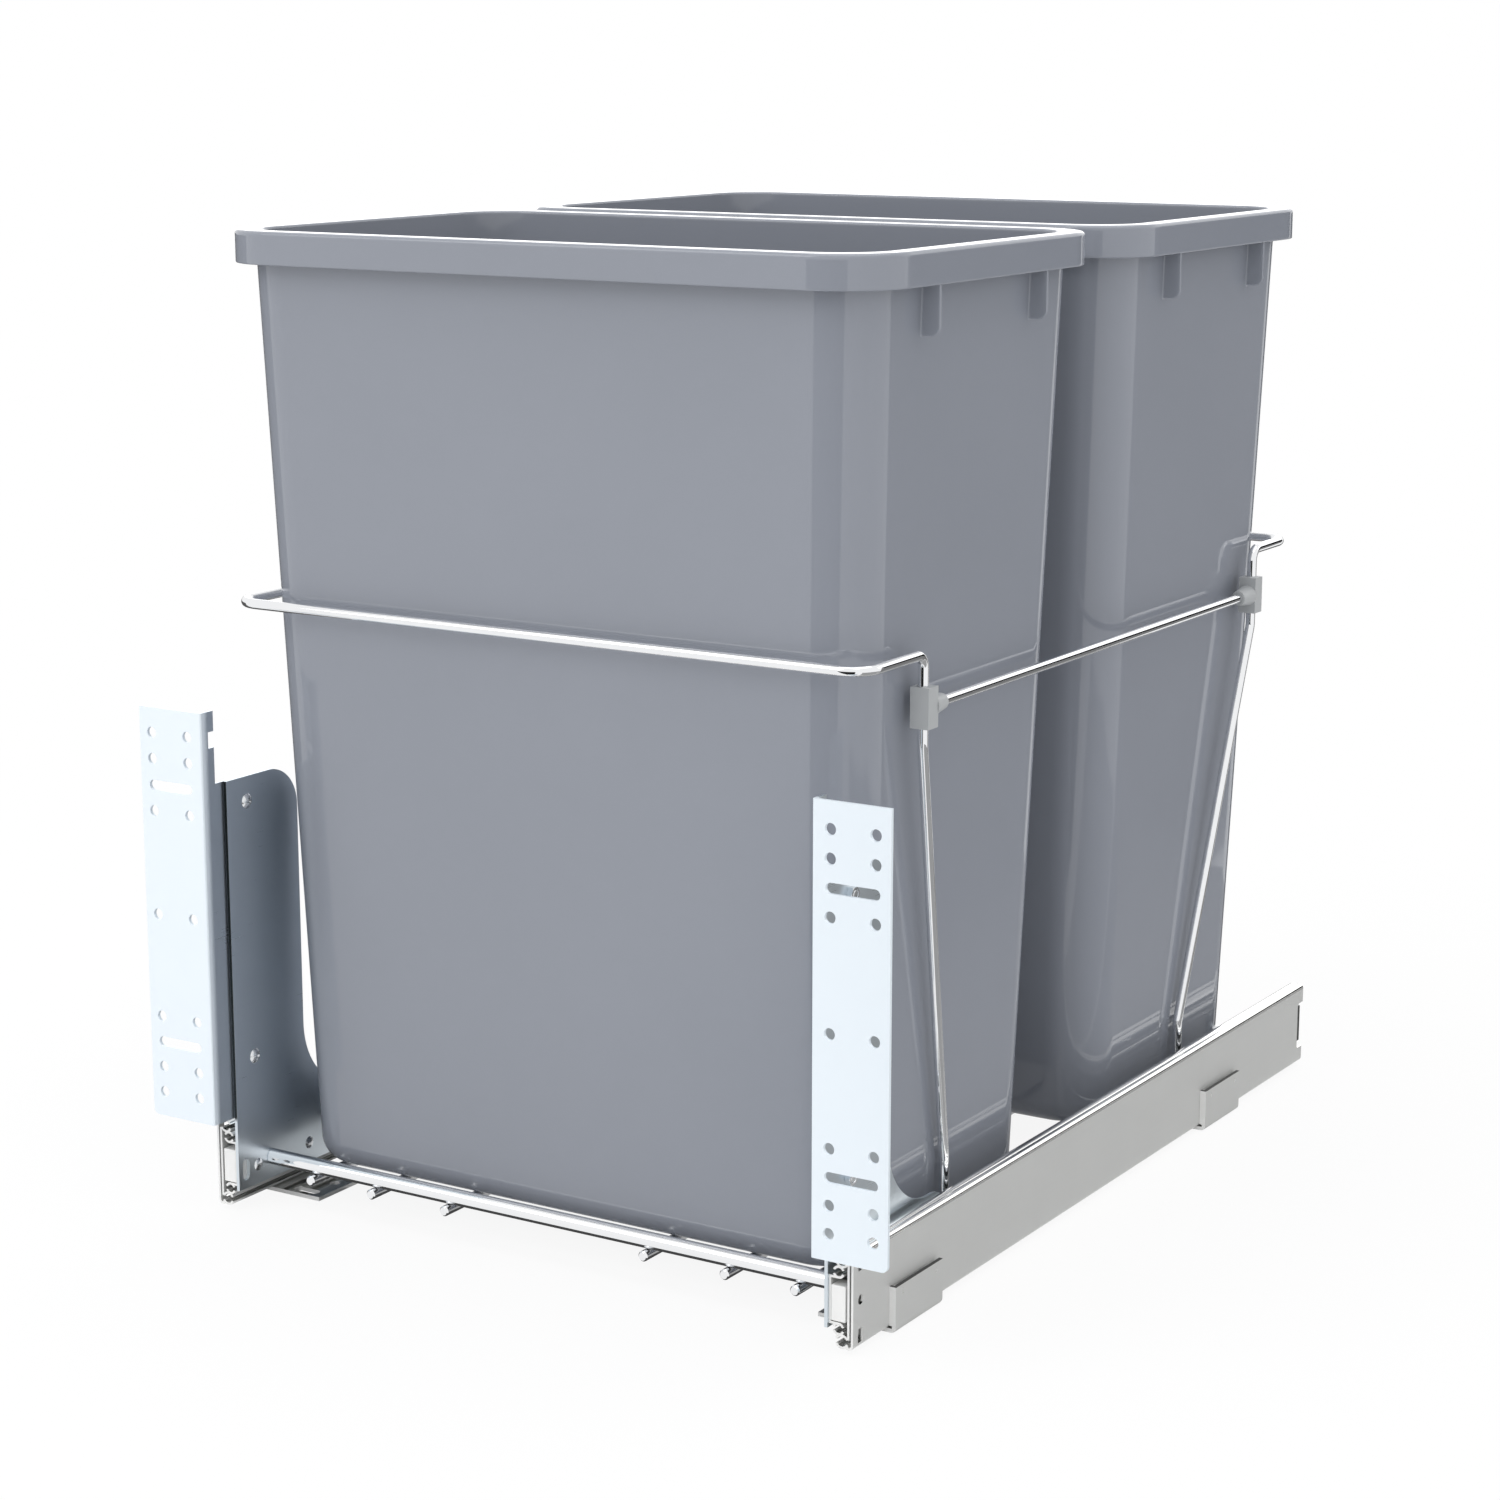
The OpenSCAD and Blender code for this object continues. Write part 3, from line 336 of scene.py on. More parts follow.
FINISHES = {
    "bin_plastic": bin_plastic(),
    "chrome_wire": chrome(),
    "rail_zinc": rail_zinc(),
    "plate_zinc": plate_zinc(),
    "fastener_steel": fastener_steel(),
    "cage_steel": cage_steel(),
    "ball_steel": ball_steel(),
    "clip_plastic": clip_plastic(),
    "cap_plastic": cap_plastic(),
    "dark_plastic": dark_plastic(),
}


# Making and handing over pieces

BODY_OF = {node: body for body, nodes in frame["record"]["behaviour"]["bodies"].items() for node in nodes}
SLOT_OF = {node: piece.data.materials[0].name.split(".")[0] for node, piece in frame["nodes"].items()}


def shown(name, mesh):
    piece = bpy.data.objects.new(name, mesh)
    bpy.context.scene.collection.objects.link(piece)
    return piece


def crisp(mesh):
    """Smooth shading that breaks at sharp edges."""
    mesh.polygons.foreach_set("use_smooth", [True] * len(mesh.polygons))
    mesh.set_sharp_from_angle(angle=radians(SHARP_ANGLE))
    return mesh


def baked(piece, name):
    """A plain mesh of a piece with its modifiers, in place of that piece."""
    made = bpy.data.meshes.new_from_object(piece.evaluated_get(bpy.context.evaluated_depsgraph_get()))
    made.name = name
    source = piece.data
    bpy.data.objects.remove(piece)
    bpy.data.meshes.remove(source)
    return made


def hand_over(name, mesh, body, slot, *nodes):
    """A finished piece that wears its slot's finish, rides on its body and stands for its CAD nodes."""
    mesh.materials.clear()
    mesh.materials.append(FINISHES[slot])
    piece = shown(name, mesh)
    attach(piece, body)
    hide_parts(*nodes)
    return piece


# Bins

CORNER_STEPS = 14
FIN_STEPS = 12
# Distance from a rounding to the extra ring that keeps the flat beside it flat
EDGE_HOLD = 0.8
RIM_HOLD = 0.5
# Gap between a fin's top and the collar's underside, and the share of a fin's depth that is sunk into the wall
FIN_TOP_GAP = 0.5
FIN_SUNK = -0.15


def ring(half_w, half_d, r, z):
    """Rounded rectangle, counterclockwise from above, with a point just before and after each corner."""
    points = []
    for turn, (sx, sy) in enumerate(((1, -1), (1, 1), (-1, 1), (-1, -1))):
        start = radians(90 * turn - 90)
        centre = Vector((sx * (half_w - r), sy * (half_d - r), z))
        arc = [start + pi / 2 * i / CORNER_STEPS for i in range(CORNER_STEPS + 1)]
        spots = [centre + r * Vector((cos(a), sin(a), 0)) for a in arc]
        before, after = (Vector((-sin(a), cos(a), 0)) for a in (arc[0], arc[-1]))
        points += [spots[0] - EDGE_HOLD * before, *spots, spots[-1] + EDGE_HOLD * after]
    return points


def wall_ring(z, inset):
    """Ring on the bin's leaning wall at a height above its floor, set in by a distance."""
    grow = BIN_LEAN * z / (BIN_HEIGHT - COLLAR_HEIGHT) - inset
    return ring(BIN_BASE_HALF[0] + grow, BIN_BASE_HALF[1] + grow, BIN_CORNER_R + min(grow, 0), z)


def collar_ring(z, inset):
    return ring(COLLAR_HALF[0] - inset, COLLAR_HALF[1] - inset, COLLAR_R - inset, z)


def quarter(steps=5):
    """Sine and cosine of even turns from 0 to 90 degrees."""
    return [(sin(radians(90 * i / steps)), cos(radians(90 * i / steps))) for i in range(steps + 1)]


def bin_rings():
    """Rings of the bin's closed skin: up the outside, round the collar, over the lip and down the inside."""
    under_lip, skirt_low = BIN_HEIGHT - COLLAR_T, BIN_HEIGHT - COLLAR_HEIGHT
    rim_r, edge_r, mouth_r = 2.0, 0.6, 1.2
    inner_fillet = BIN_BASE_FILLET - BIN_WALL
    rings = [wall_ring(0, BIN_BASE_FILLET + EDGE_HOLD)]
    rings += [wall_ring(BIN_BASE_FILLET * (1 - c), BIN_BASE_FILLET * (1 - s)) for s, c in quarter(8)]
    rings += [wall_ring(z, 0) for z in (BIN_BASE_FILLET + EDGE_HOLD, under_lip - EDGE_HOLD, under_lip)]
    rings += [collar_ring(under_lip, COLLAR_T), collar_ring(skirt_low + edge_r, COLLAR_T)]
    rings += [collar_ring(skirt_low + edge_r * (1 - s), COLLAR_T - edge_r * (1 - c)) for s, c in quarter(3)[1:]]
    rings += [collar_ring(skirt_low + edge_r * (1 - c), edge_r * (1 - s)) for s, c in quarter(3)]
    rings += [collar_ring(z, 0) for z in (skirt_low + edge_r + RIM_HOLD, BIN_HEIGHT - rim_r - RIM_HOLD)]
    rings += [collar_ring(BIN_HEIGHT - rim_r * (1 - s), rim_r * (1 - c)) for s, c in quarter(6)]
    rings.append(collar_ring(BIN_HEIGHT, rim_r + RIM_HOLD))
    rings.append(wall_ring(BIN_HEIGHT, BIN_WALL - mouth_r - RIM_HOLD))
    rings += [wall_ring(BIN_HEIGHT - mouth_r * (1 - c), BIN_WALL - mouth_r * (1 - s)) for s, c in quarter(4)]
    rings.append(wall_ring(BIN_HEIGHT - mouth_r - RIM_HOLD, BIN_WALL))
    rings.append(wall_ring(BIN_WALL + inner_fillet + EDGE_HOLD, BIN_WALL))
    rings += [
        wall_ring(BIN_WALL + inner_fillet * (1 - s), BIN_WALL + inner_fillet * (1 - c)) for s, c in quarter(8)
    ]
    rings.append(wall_ring(BIN_WALL, BIN_WALL + inner_fillet + EDGE_HOLD))
    return rings


def skin_over(rings):
    """Closed skin through rings of equal counts, with flat ends."""
    skin = bmesh.new()
    loops = [[skin.verts.new(p) for p in r] for r in rings]
    count = len(loops[0])
    for low, high in zip(loops, loops[1:]):
        for i in range(count):
            j = (i + 1) % count
            skin.faces.new((low[i], low[j], high[j], high[i]))
    skin.faces.new(reversed(loops[0]))
    skin.faces.new(loops[-1])
    return skin


def fin_outline(half, low, top):
    """U-shaped outline of a fin seen from its side of the bin, as (y, z)."""
    turns = [pi * i / FIN_STEPS for i in range(FIN_STEPS + 1)]
    return [(-half, top), *((-half * cos(t), low + half * (1 - sin(t))) for t in turns), (half, top)]


def fin_slices():
    """Slices of a fin from the wall to its face: share of the way out, half thickness, rise of its foot."""
    depth = FIN_FACE - BIN_BASE_HALF[0] - BIN_LEAN
    half, edge_r = FIN_T / 2, 0.5
    slices = [(FIN_SUNK, half + FIN_ROOT_R, -FIN_ROOT_R)]
    for s, c in quarter(7):
        flare = FIN_ROOT_R * (1 - s)
        slices.append((FIN_ROOT_R * (1 - c) / depth, half + flare, -flare))
    for s, c in quarter(5):
        out = depth - FIN_CORNER_R * (1 - s)
        rounding = edge_r * max(0, 1 - (depth - out) / edge_r) ** 2
        slices.append((out / depth, half - rounding, FIN_CORNER_R * (1 - c)))
    return slices


def fin(side, y):
    """Fin under the collar that flares into the bin's wall, with a round lower corner."""
    low, top = BIN_HEIGHT - COLLAR_HEIGHT - FIN_DOWN, BIN_HEIGHT - COLLAR_T - FIN_TOP_GAP
    rings = []
    for share, half, rise in fin_slices():
        spots = []
        for along, z in fin_outline(half, low + rise, top):
            wall = BIN_BASE_HALF[0] + BIN_LEAN * z / (BIN_HEIGHT - COLLAR_HEIGHT)
            spots.append((side * (wall + share * (FIN_FACE - wall)), y + along, z))
        rings.append(spots)
    made = skin_over(rings)
    bmesh.ops.recalc_face_normals(made, faces=made.faces)
    return made


def bin_mesh(end):
    skin = skin_over(bin_rings())
    for side in (-1, 1):
        for way in (-1, 1):
            extra = bpy.data.meshes.new("fin")
            made = fin(side, way * FIN_SPAN / 2)
            made.to_mesh(extra)
            made.free()
            skin.from_mesh(extra)
            bpy.data.meshes.remove(extra)
    skin.transform(Matrix.Translation(at(0, BIN_YS[end], BIN_FLOOR_Z)) @ Matrix.Scale(MM, 4))
    mesh = bpy.data.meshes.new(f"{end}_bin_skin")
    skin.to_mesh(mesh)
    skin.free()
    return crisp(mesh)


for end in BIN_YS:
    hand_over(f"{end}_bin_shell", bin_mesh(end), f"{end}_bin_unit", "bin_plastic", f"{end}_bin")


# Wire carriage

ROD_SIDES = 28
BEND_STEPS = 9
# Radius in mm that a rod's chamfered end is narrowed against
CHAMFER_GIRTH = 3.2


def bent_rod_tree():
    """Round bar along a path, with a bend radius and a girth given at each of the path's points."""
    tree = bpy.data.node_groups.new("bent_rod", "GeometryNodeTree")
    for name, kind in (
        ("Path", "NodeSocketGeometry"), ("Rod diameter", "NodeSocketFloat"),
        ("Sides", "NodeSocketInt"), ("Steps in a bend", "NodeSocketInt"), ("Finish", "NodeSocketMaterial"),
    ):
        tree.interface.new_socket(name, in_out="INPUT", socket_type=kind)
    tree.interface.new_socket("Rod", in_out="OUTPUT", socket_type="NodeSocketGeometry")
    g = Graph(tree)
    path, diameter, sides, steps, finish = (
        g.node("NodeGroupInput", output=name)
        for name in ("Path", "Rod diameter", "Sides", "Steps in a bend", "Finish")
    )
    bend = g.node("GeometryNodeInputNamedAttribute", {"data_type": "FLOAT"}, {"Name": "bend"})
    girth = g.node("GeometryNodeInputNamedAttribute", {"data_type": "FLOAT"}, {"Name": "girth"})
    line = g.node("GeometryNodeMeshToCurve", {}, {"Mesh": path})
    rounded = g.node(
        "GeometryNodeFilletCurve", {"mode": "POLY"},
        {"Curve": line, "Count": steps, "Radius": bend, "Limit Radius": True},
    )
    section = g.node("GeometryNodeCurvePrimitiveCircle", {}, {"Resolution": sides, "Radius": diameter * 0.5})
    bar = g.node(
        "GeometryNodeCurveToMesh", {},
        {"Curve": rounded, "Profile Curve": section, "Scale": girth, "Fill Caps": True},
    )
    whole = g.node("GeometryNodeRealizeInstances", {}, {"Geometry": bar})
    dressed = g.node("GeometryNodeSetMaterial", {}, {"Geometry": whole, "Material": finish})
    g.node("NodeGroupOutput", {}, {"Rod": dressed})
    return tree


BENT_ROD = bent_rod_tree()


def set_inputs(modifier, values):
    """Sets a node tree's inputs on its modifier through the sockets' identifiers."""
    for item in modifier.node_group.interface.items_tree:
        if item.in_out == "INPUT" and item.name in values:
            modifier[item.identifier] = values[item.name]


def rod_mesh(name, paths, diameter):
    """Mesh of rods, each a run of (point in metres, bend radius in mm, girth)."""
    lines = bpy.data.meshes.new(f"{name}_paths")
    spots = [spot for path in paths for spot in path]
    edges, start = [], 0
    for path in paths:
        edges += [(start + i, start + i + 1) for i in range(len(path) - 1)]
        start += len(path)
    lines.from_pydata([p for p, _, _ in spots], edges, [])
    lines.attributes.new("bend", "FLOAT", "POINT").data.foreach_set("value", [b * MM for _, b, _ in spots])
    lines.attributes.new("girth", "FLOAT", "POINT").data.foreach_set("value", [g for _, _, g in spots])
    piece = shown(f"{name}_path", lines)
    modifier = piece.modifiers.new("rod", "NODES")
    modifier.node_group = BENT_ROD
    set_inputs(modifier, {
        "Rod diameter": diameter * MM, "Sides": ROD_SIDES, "Steps in a bend": BEND_STEPS,
        "Finish": FINISHES["chrome_wire"],
    })
    mesh = baked(piece, f"{name}_rod")
    shell = bmesh.new()
    shell.from_mesh(mesh)
    bmesh.ops.recalc_face_normals(shell, faces=shell.faces)
    shell.to_mesh(mesh)
    shell.free()
    return crisp(mesh)


def straight(start, end, chamfer=0.8):
    """Straight rod with chamfered ends."""
    along = (end - start).normalized() * chamfer * MM
    cut = 1 - chamfer / CHAMFER_GIRTH
    return [(start, 0, cut), (start + along, 0, 1), (end - along, 0, 1), (end, 0, cut)]


def hoop_path(hoop_y, leg_y, foot_y):
    """Hoop round a bin's end, with its two slanted legs."""
    half = [
        (at(SIDE_ROD_X, foot_y, LEG_END_Z), 0, 1), (at(SIDE_ROD_X, foot_y, LEG_FOOT_Z), KINK_R, 1),
        (at(HOOP_HALF, leg_y, LEG_KINK_Z), KINK_R, 1), (at(HOOP_HALF, leg_y, HOOP_Z), LEG_BEND_R, 1),
        (at(HOOP_HALF, hoop_y, HOOP_Z), HOOP_CORNER_R, 1),
    ]
    return half + [(Vector((-p.x, p.y, p.z)), b, g) for p, b, g in reversed(half)]


def hang_rods(name, paths, diameter, node):
    """Rods of one diameter that ride on the carriage."""
    hand_over(name, rod_mesh(name, paths, diameter), "carriage", "chrome_wire", node)


def carriage_rods():
    held_chamfer = 0.3
    wire_ends = (ROD_YS["front"] - WIRE_OVERRUN, ROD_YS["rear"] + WIRE_OVERRUN)
    floor = [
        straight(*(at(side * x, y, WIRE_Z) for y in wire_ends)) for x in WIRE_XS for side in (-1, 1)
    ]
    hang_rods("floor_wire_set", floor, WIRE_D, "floor_wires")
    for end, (hoop_y, leg_y, foot_y) in HOOPS.items():
        hang_rods(f"{end}_hoop_bar", [hoop_path(hoop_y, leg_y, foot_y)], HOOP_D, f"{end}_hoop")
        cross = straight(*(at(x, ROD_YS[end], ROD_Z) for x in (-ARM_FACE, ARM_FACE)), held_chamfer)
        hang_rods(f"{end}_cross_bar", [cross], ROD_D, f"{end}_cross_rod")
        cradle = [
            (at(x, foot_y, z), r, 1) for x, z, r in (
                (-SIDE_ROD_X, CRADLE_TOP, 0), (-SIDE_ROD_X, CRADLE_Z, CRADLE_R),
                (SIDE_ROD_X, CRADLE_Z, CRADLE_R), (SIDE_ROD_X, CRADLE_TOP, 0),
            )
        ]
        hang_rods(f"{end}_cradle_bar", [cradle], WIRE_D, f"{end}_cradle_wire")
    for hand, side in (("left", -1), ("right", 1)):
        rod = straight(*(at(side * SIDE_ROD_X, y, SIDE_ROD_Z) for y in SIDE_ROD_YS))
        hang_rods(f"{hand}_side_bar", [rod], SIDE_ROD_D, f"{hand}_side_rod")
        guard = straight(*(at(side * HOOP_HALF, y, GUARD_Z) for y in GUARD_YS), held_chamfer)
        hang_rods(f"{hand}_guard_bar", [guard], HOOP_D, f"{hand}_guard_rod")


carriage_rods()


# Screws, nuts and rivets

def fastener_row_tree():
    """One fastener at each point, turned about Z by the angle given there."""
    tree = bpy.data.node_groups.new("fastener_row", "GeometryNodeTree")
    for name, kind in (
        ("Places", "NodeSocketGeometry"), ("Fastener", "NodeSocketObject"), ("Finish", "NodeSocketMaterial"),
    ):
        tree.interface.new_socket(name, in_out="INPUT", socket_type=kind)
    tree.interface.new_socket("Row", in_out="OUTPUT", socket_type="NodeSocketGeometry")
    g = Graph(tree)
    places, fastener, finish = (
        g.node("NodeGroupInput", output=name) for name in ("Places", "Fastener", "Finish")
    )
    turn = g.node("GeometryNodeInputNamedAttribute", {"data_type": "FLOAT"}, {"Name": "turn"})
    facing = g.node("ShaderNodeCombineXYZ", {}, {"Z": turn})
    shape = g.node("GeometryNodeObjectInfo", {"transform_space": "ORIGINAL"}, {"Object": fastener}, "Geometry")
    row = g.node("GeometryNodeInstanceOnPoints", {}, {"Points": places, "Instance": shape, "Rotation": facing})
    whole = g.node("GeometryNodeRealizeInstances", {}, {"Geometry": row})
    dressed = g.node("GeometryNodeSetMaterial", {}, {"Geometry": whole, "Material": finish})
    g.node("NodeGroupOutput", {}, {"Row": dressed})
    return tree


FASTENER_ROW = fastener_row_tree()


def fastener_mesh(name, pattern, places, finish):
    """Mesh of a fastener drawn in mm, repeated at these (x, y, z), with its head to the middle of the frame."""
    pattern.transform(Matrix.Scale(MM, 4))
    spots = bpy.data.meshes.new(f"{name}_places")
    spots.from_pydata([at(*p) for p in places], [], [])
    turns = [pi if x < 0 else 0.0 for x, _, _ in places]
    spots.attributes.new("turn", "FLOAT", "POINT").data.foreach_set("value", turns)
    fastener = shown(f"{name}_pattern", pattern)
    row = shown(f"{name}_row", spots)
    modifier = row.modifiers.new("row", "NODES")
    modifier.node_group = FASTENER_ROW
    set_inputs(modifier, {"Fastener": fastener, "Finish": finish})
    mesh = baked(row, f"{name}_mesh")
    bpy.data.objects.remove(fastener)
    bpy.data.meshes.remove(pattern)
    return crisp(mesh)


def turned(profile, sides=36):
    """Closed body turned round the X axis from a run of (x, radius) in mm that starts and ends on the axis."""
    body = bmesh.new()
    turns = [2 * pi * i / sides for i in range(sides)]
    loops = [[body.verts.new((x, r * cos(t), r * sin(t))) for t in turns] for x, r in profile[1:-1]]
    for low, high in zip(loops, loops[1:]):
        for i in range(sides):
            j = (i + 1) % sides
            body.faces.new((low[i], low[j], high[j], high[i]))
    for (x, _), loop in ((profile[0], loops[0]), (profile[-1], loops[-1])):
        pole = body.verts.new((x, 0, 0))
        for i in range(sides):
            body.faces.new((loop[i], loop[(i + 1) % sides], pole))
    return closed(body)


def closed(body):
    """Mesh of a closed body, with its faces pointing outwards."""
    bmesh.ops.recalc_face_normals(body, faces=body.faces)
    mesh = bpy.data.meshes.new("body")
    body.to_mesh(mesh)
    body.free()
    return mesh


def dome(diameter, height, steps=7):
    """Profile of a low dome that stands on x = 0 towards -x, from its crown to its rim."""
    r = (diameter * diameter / 4 + height * height) / (2 * height)
    half_angle = 2 * atan2(height, diameter / 2)
    angles = [half_angle * i / steps for i in range(steps + 1)]
    return [(r - height - r * cos(a), r * sin(a)) for a in angles]


def rivet_pattern():
    """Rivet with a domed head, and a dimple in its tail."""
    head, tail = 1.6 * RIVET_D, RIVET_TAIL
    edge = 0.25
    dimple_r, dimple_floor_r, dimple_depth = 0.9, 0.5, 0.3
    return turned([
        *dome(head, RIVET_HEAD_H), (0, RIVET_D / 2), (tail, RIVET_D / 2), (tail, head / 2 - edge),
        (tail + edge, head / 2), (tail + RIVET_TAIL_H - edge, head / 2), (tail + RIVET_TAIL_H, head / 2 - edge),
        (tail + RIVET_TAIL_H, dimple_r), (tail + RIVET_TAIL_H - dimple_depth, dimple_floor_r),
        (tail + RIVET_TAIL_H - dimple_depth, 0),
    ])


def carved(solid, tool, operation):
    """Mesh of a solid after a cut by a tool, or what the two share."""
    piece, cutter = shown("carved", solid), shown("cutter", tool)
    step = piece.modifiers.new("carve", "BOOLEAN")
    step.operation, step.solver, step.object = operation, "EXACT", cutter
    mesh = baked(piece, "carved")
    bpy.data.objects.remove(cutter)
    bpy.data.meshes.remove(tool)
    return mesh


def recess_wing(stands):
    """One of the two tapered bars of the cross that is cut into the screw's head."""
    wing = bmesh.new()
    loops = []
    for x, length, width in ((-SCREW_HEAD_H - 0.5, 2.3, 0.62), (-0.25, 1.1, 0.36)):
        half_y, half_z = (width, length) if stands else (length, width)
        loops.append([
            wing.verts.new((x, sy * half_y, sz * half_z)) for sy, sz in ((-1, -1), (1, -1), (1, 1), (-1, 1))
        ])
    low, high = loops
    wing.faces.new(low)
    wing.faces.new(reversed(high))
    for i in range(4):
        wing.faces.new((low[i], high[i], high[(i + 1) % 4], low[(i + 1) % 4]))
    return closed(wing)


def screw_pattern():
    """Screw with a domed cross head and a thread of plain ridges."""
    head, tip, chamfer = 1.9 * SCREW_D, SCREW_TIP, 0.4
    ridge_count, ridge_step, ridge_depth, thread_end = 8, 0.35, 0.22, tip - 0.6
    ridges = [
        (thread_end - ridge_step * i, SCREW_D / 2 - ridge_depth * (i % 2)) for i in reversed(range(ridge_count))
    ]
    screw = turned([
        *dome(head, SCREW_HEAD_H), (0, SCREW_D / 2), *ridges,
        (tip - chamfer, SCREW_D / 2), (tip, SCREW_D / 2 - chamfer), (tip, 0),
    ])
    for stands in (False, True):
        screw = carved(screw, recess_wing(stands), "DIFFERENCE")
    return screw


def nut_pattern():
    """Hexagon nut with chamfered corners."""
    half = 0.95 * SCREW_D
    turns = [pi / 3 * i for i in range(6)]
    hexagon = bmesh.new()
    low, high = ([hexagon.verts.new((x, half * cos(t), half * sin(t))) for t in turns] for x in (0, NUT_T))
    hexagon.faces.new(low)
    hexagon.faces.new(high)
    for i in range(6):
        hexagon.faces.new((low[i], low[(i + 1) % 6], high[(i + 1) % 6], high[i]))
    corner, beyond, clear = 0.45, 0.01, 0.02
    blank = turned([
        (-beyond, 0), (-beyond, half - corner), (corner, half + clear), (NUT_T - corner, half + clear),
        (NUT_T + beyond, half - corner), (NUT_T + beyond, 0),
    ], 48)
    bore, reach, flare, flare_end = SCREW_D / 2 + 0.05, 1, 0.9, 0.4
    drill = turned([
        (-reach, 0), (-reach, bore + flare), (flare_end, bore), (NUT_T - flare_end, bore),
        (NUT_T + reach, bore + flare), (NUT_T + reach, 0),
    ])
    return carved(carved(closed(hexagon), blank, "INTERSECT"), drill, "DIFFERENCE")


def fasteners():
    sides = (-1, 1)
    screws = [(s * ARM_FACE, SCREW_Y, z) for s in sides for z in SCREW_ZS]
    nuts = [(s * NUT_SEAT, SCREW_Y, z) for s in sides for z in SCREW_ZS]
    arm_rivets = [(s * ARM_FACE, y, RIVET_Z) for s in sides for y in ARM_RIVET_YS]
    rear_rivets = [(s * ARM_FACE, y, RIVET_Z) for s in sides for y in REAR_RIVET_YS]
    for name, pattern, places, node in (
        ("plate_screw_set", screw_pattern(), screws, "plate_screws"),
        ("plate_nut_set", nut_pattern(), nuts, "plate_nuts"),
        ("arm_rivet_set", rivet_pattern(), arm_rivets, "arm_rivets"),
        ("rear_rivet_set", rivet_pattern(), rear_rivets, "rear_rivets"),
    ):
        mesh = fastener_mesh(name, crisp(pattern), places, FINISHES[SLOT_OF[node]])
        hand_over(name, mesh, BODY_OF[node], SLOT_OF[node], node)


fasteners()


# Sheet metal and small mouldings, with their edges softened

# Points nearer than this are one point, and points within this of a plane lie on it, in metres
WELD, ON_PLANE = 2e-6, 1e-5
# Faces that turn by fewer degrees than this are one face
FLAT_ANGLE = 0.5


def bend_foot(shape):
    """Rounds a floor bracket's outer lower edge, where its sheet is bent from upright to foot."""
    edges = [
        edge for edge in shape.edges
        if all(abs(v.co.x) > MM * UPRIGHT_FACE - ON_PLANE and v.co.z < ON_PLANE for v in edge.verts)
    ]
    bmesh.ops.bevel(shape, geom=edges, offset=MM * FOOT_BEND_R, segments=6, profile=0.5, affect="EDGES")


def softened(node, width, segments=3):
    """Copy of a CAD node's mesh whose edges are rounded by this many millimetres."""
    shape = bmesh.new()
    shape.from_mesh(frame["nodes"][node].data)
    bmesh.ops.remove_doubles(shape, verts=shape.verts, dist=WELD)
    bmesh.ops.dissolve_limit(
        shape, angle_limit=radians(FLAT_ANGLE), verts=shape.verts, edges=shape.edges, delimit={"NORMAL"},
    )
    if node.endswith("foot_bracket"):
        bend_foot(shape)
    mesh = bpy.data.meshes.new(f"{node}_soft")
    shape.to_mesh(mesh)
    shape.free()
    mesh.polygons.foreach_set("use_smooth", [True] * len(mesh.polygons))
    piece = shown(f"{node}_soft", mesh)
    bevel = piece.modifiers.new("edges", "BEVEL")
    bevel.width = width * MM
    bevel.segments = segments
    bevel.limit_method = "ANGLE"
    bevel.angle_limit = radians(SHARP_ANGLE)
    bevel.use_clamp_overlap = True
    weighted = piece.modifiers.new("shading", "WEIGHTED_NORMAL")
    weighted.weight = 100
    skin = baked(piece, f"{node}_skin")
    # A bevel can dip a hundredth of a millimetre under the floor.
    for vertex in skin.vertices:
        vertex.co.z = max(vertex.co.z, 0.0)
    return skin


SOFT_EDGES = {
    "door_plate": 0.3, "side_arm": 0.25, "foot_bracket": 0.3, "outer_rail": 0.3, "middle_rail": 0.2,
    "inner_rail": 0.2, "rear_bracket": 0.3, "clip": 0.6, "front_cap": 0.4, "rear_bumper": 0.4,
}
for node in sorted(frame["nodes"]):
    for kind, width in SOFT_EDGES.items():
        if node.endswith(kind):
            hand_over(f"{node}_skin", softened(node, width), BODY_OF[node], SLOT_OF[node], node)

for node, piece in frame["nodes"].items():
    piece.data.materials.clear()
    piece.data.materials.append(FINISHES[SLOT_OF[node]])


# Surround, lamps and camera

# Strength of the surround for light that spreads; mirrors and the camera see it white
SURROUND_LIGHT = 0.84
FLOOR_Z = -0.0006
CARD_STEP = 0.0001
# Places on the floor that the studio cards start from, in metres
FRONT_CORNER = (0.146, -0.198)
NEAR_RIGHT = (0.19, -0.36)
REAR_RIGHT = (0.35, 0.62)
MID_RIGHT = (0.165, 0.3)
NEAR_LEFT = (-0.23, -0.2)
LAMP_TARGET = (0, 0, 0.25)


def white_surround():
    world = bpy.data.worlds.new("white_surround")
    world.use_nodes = True
    g = Graph(world.node_tree)
    light = g.node(
        "ShaderNodeBackground", {},
        {"Color": (1, 1, 1, 1), "Strength": SURROUND_LIGHT + (1 - SURROUND_LIGHT) * g.seen_ray()},
    )
    g.node("ShaderNodeOutputWorld", {}, {"Surface": light})
    bpy.context.scene.world = world


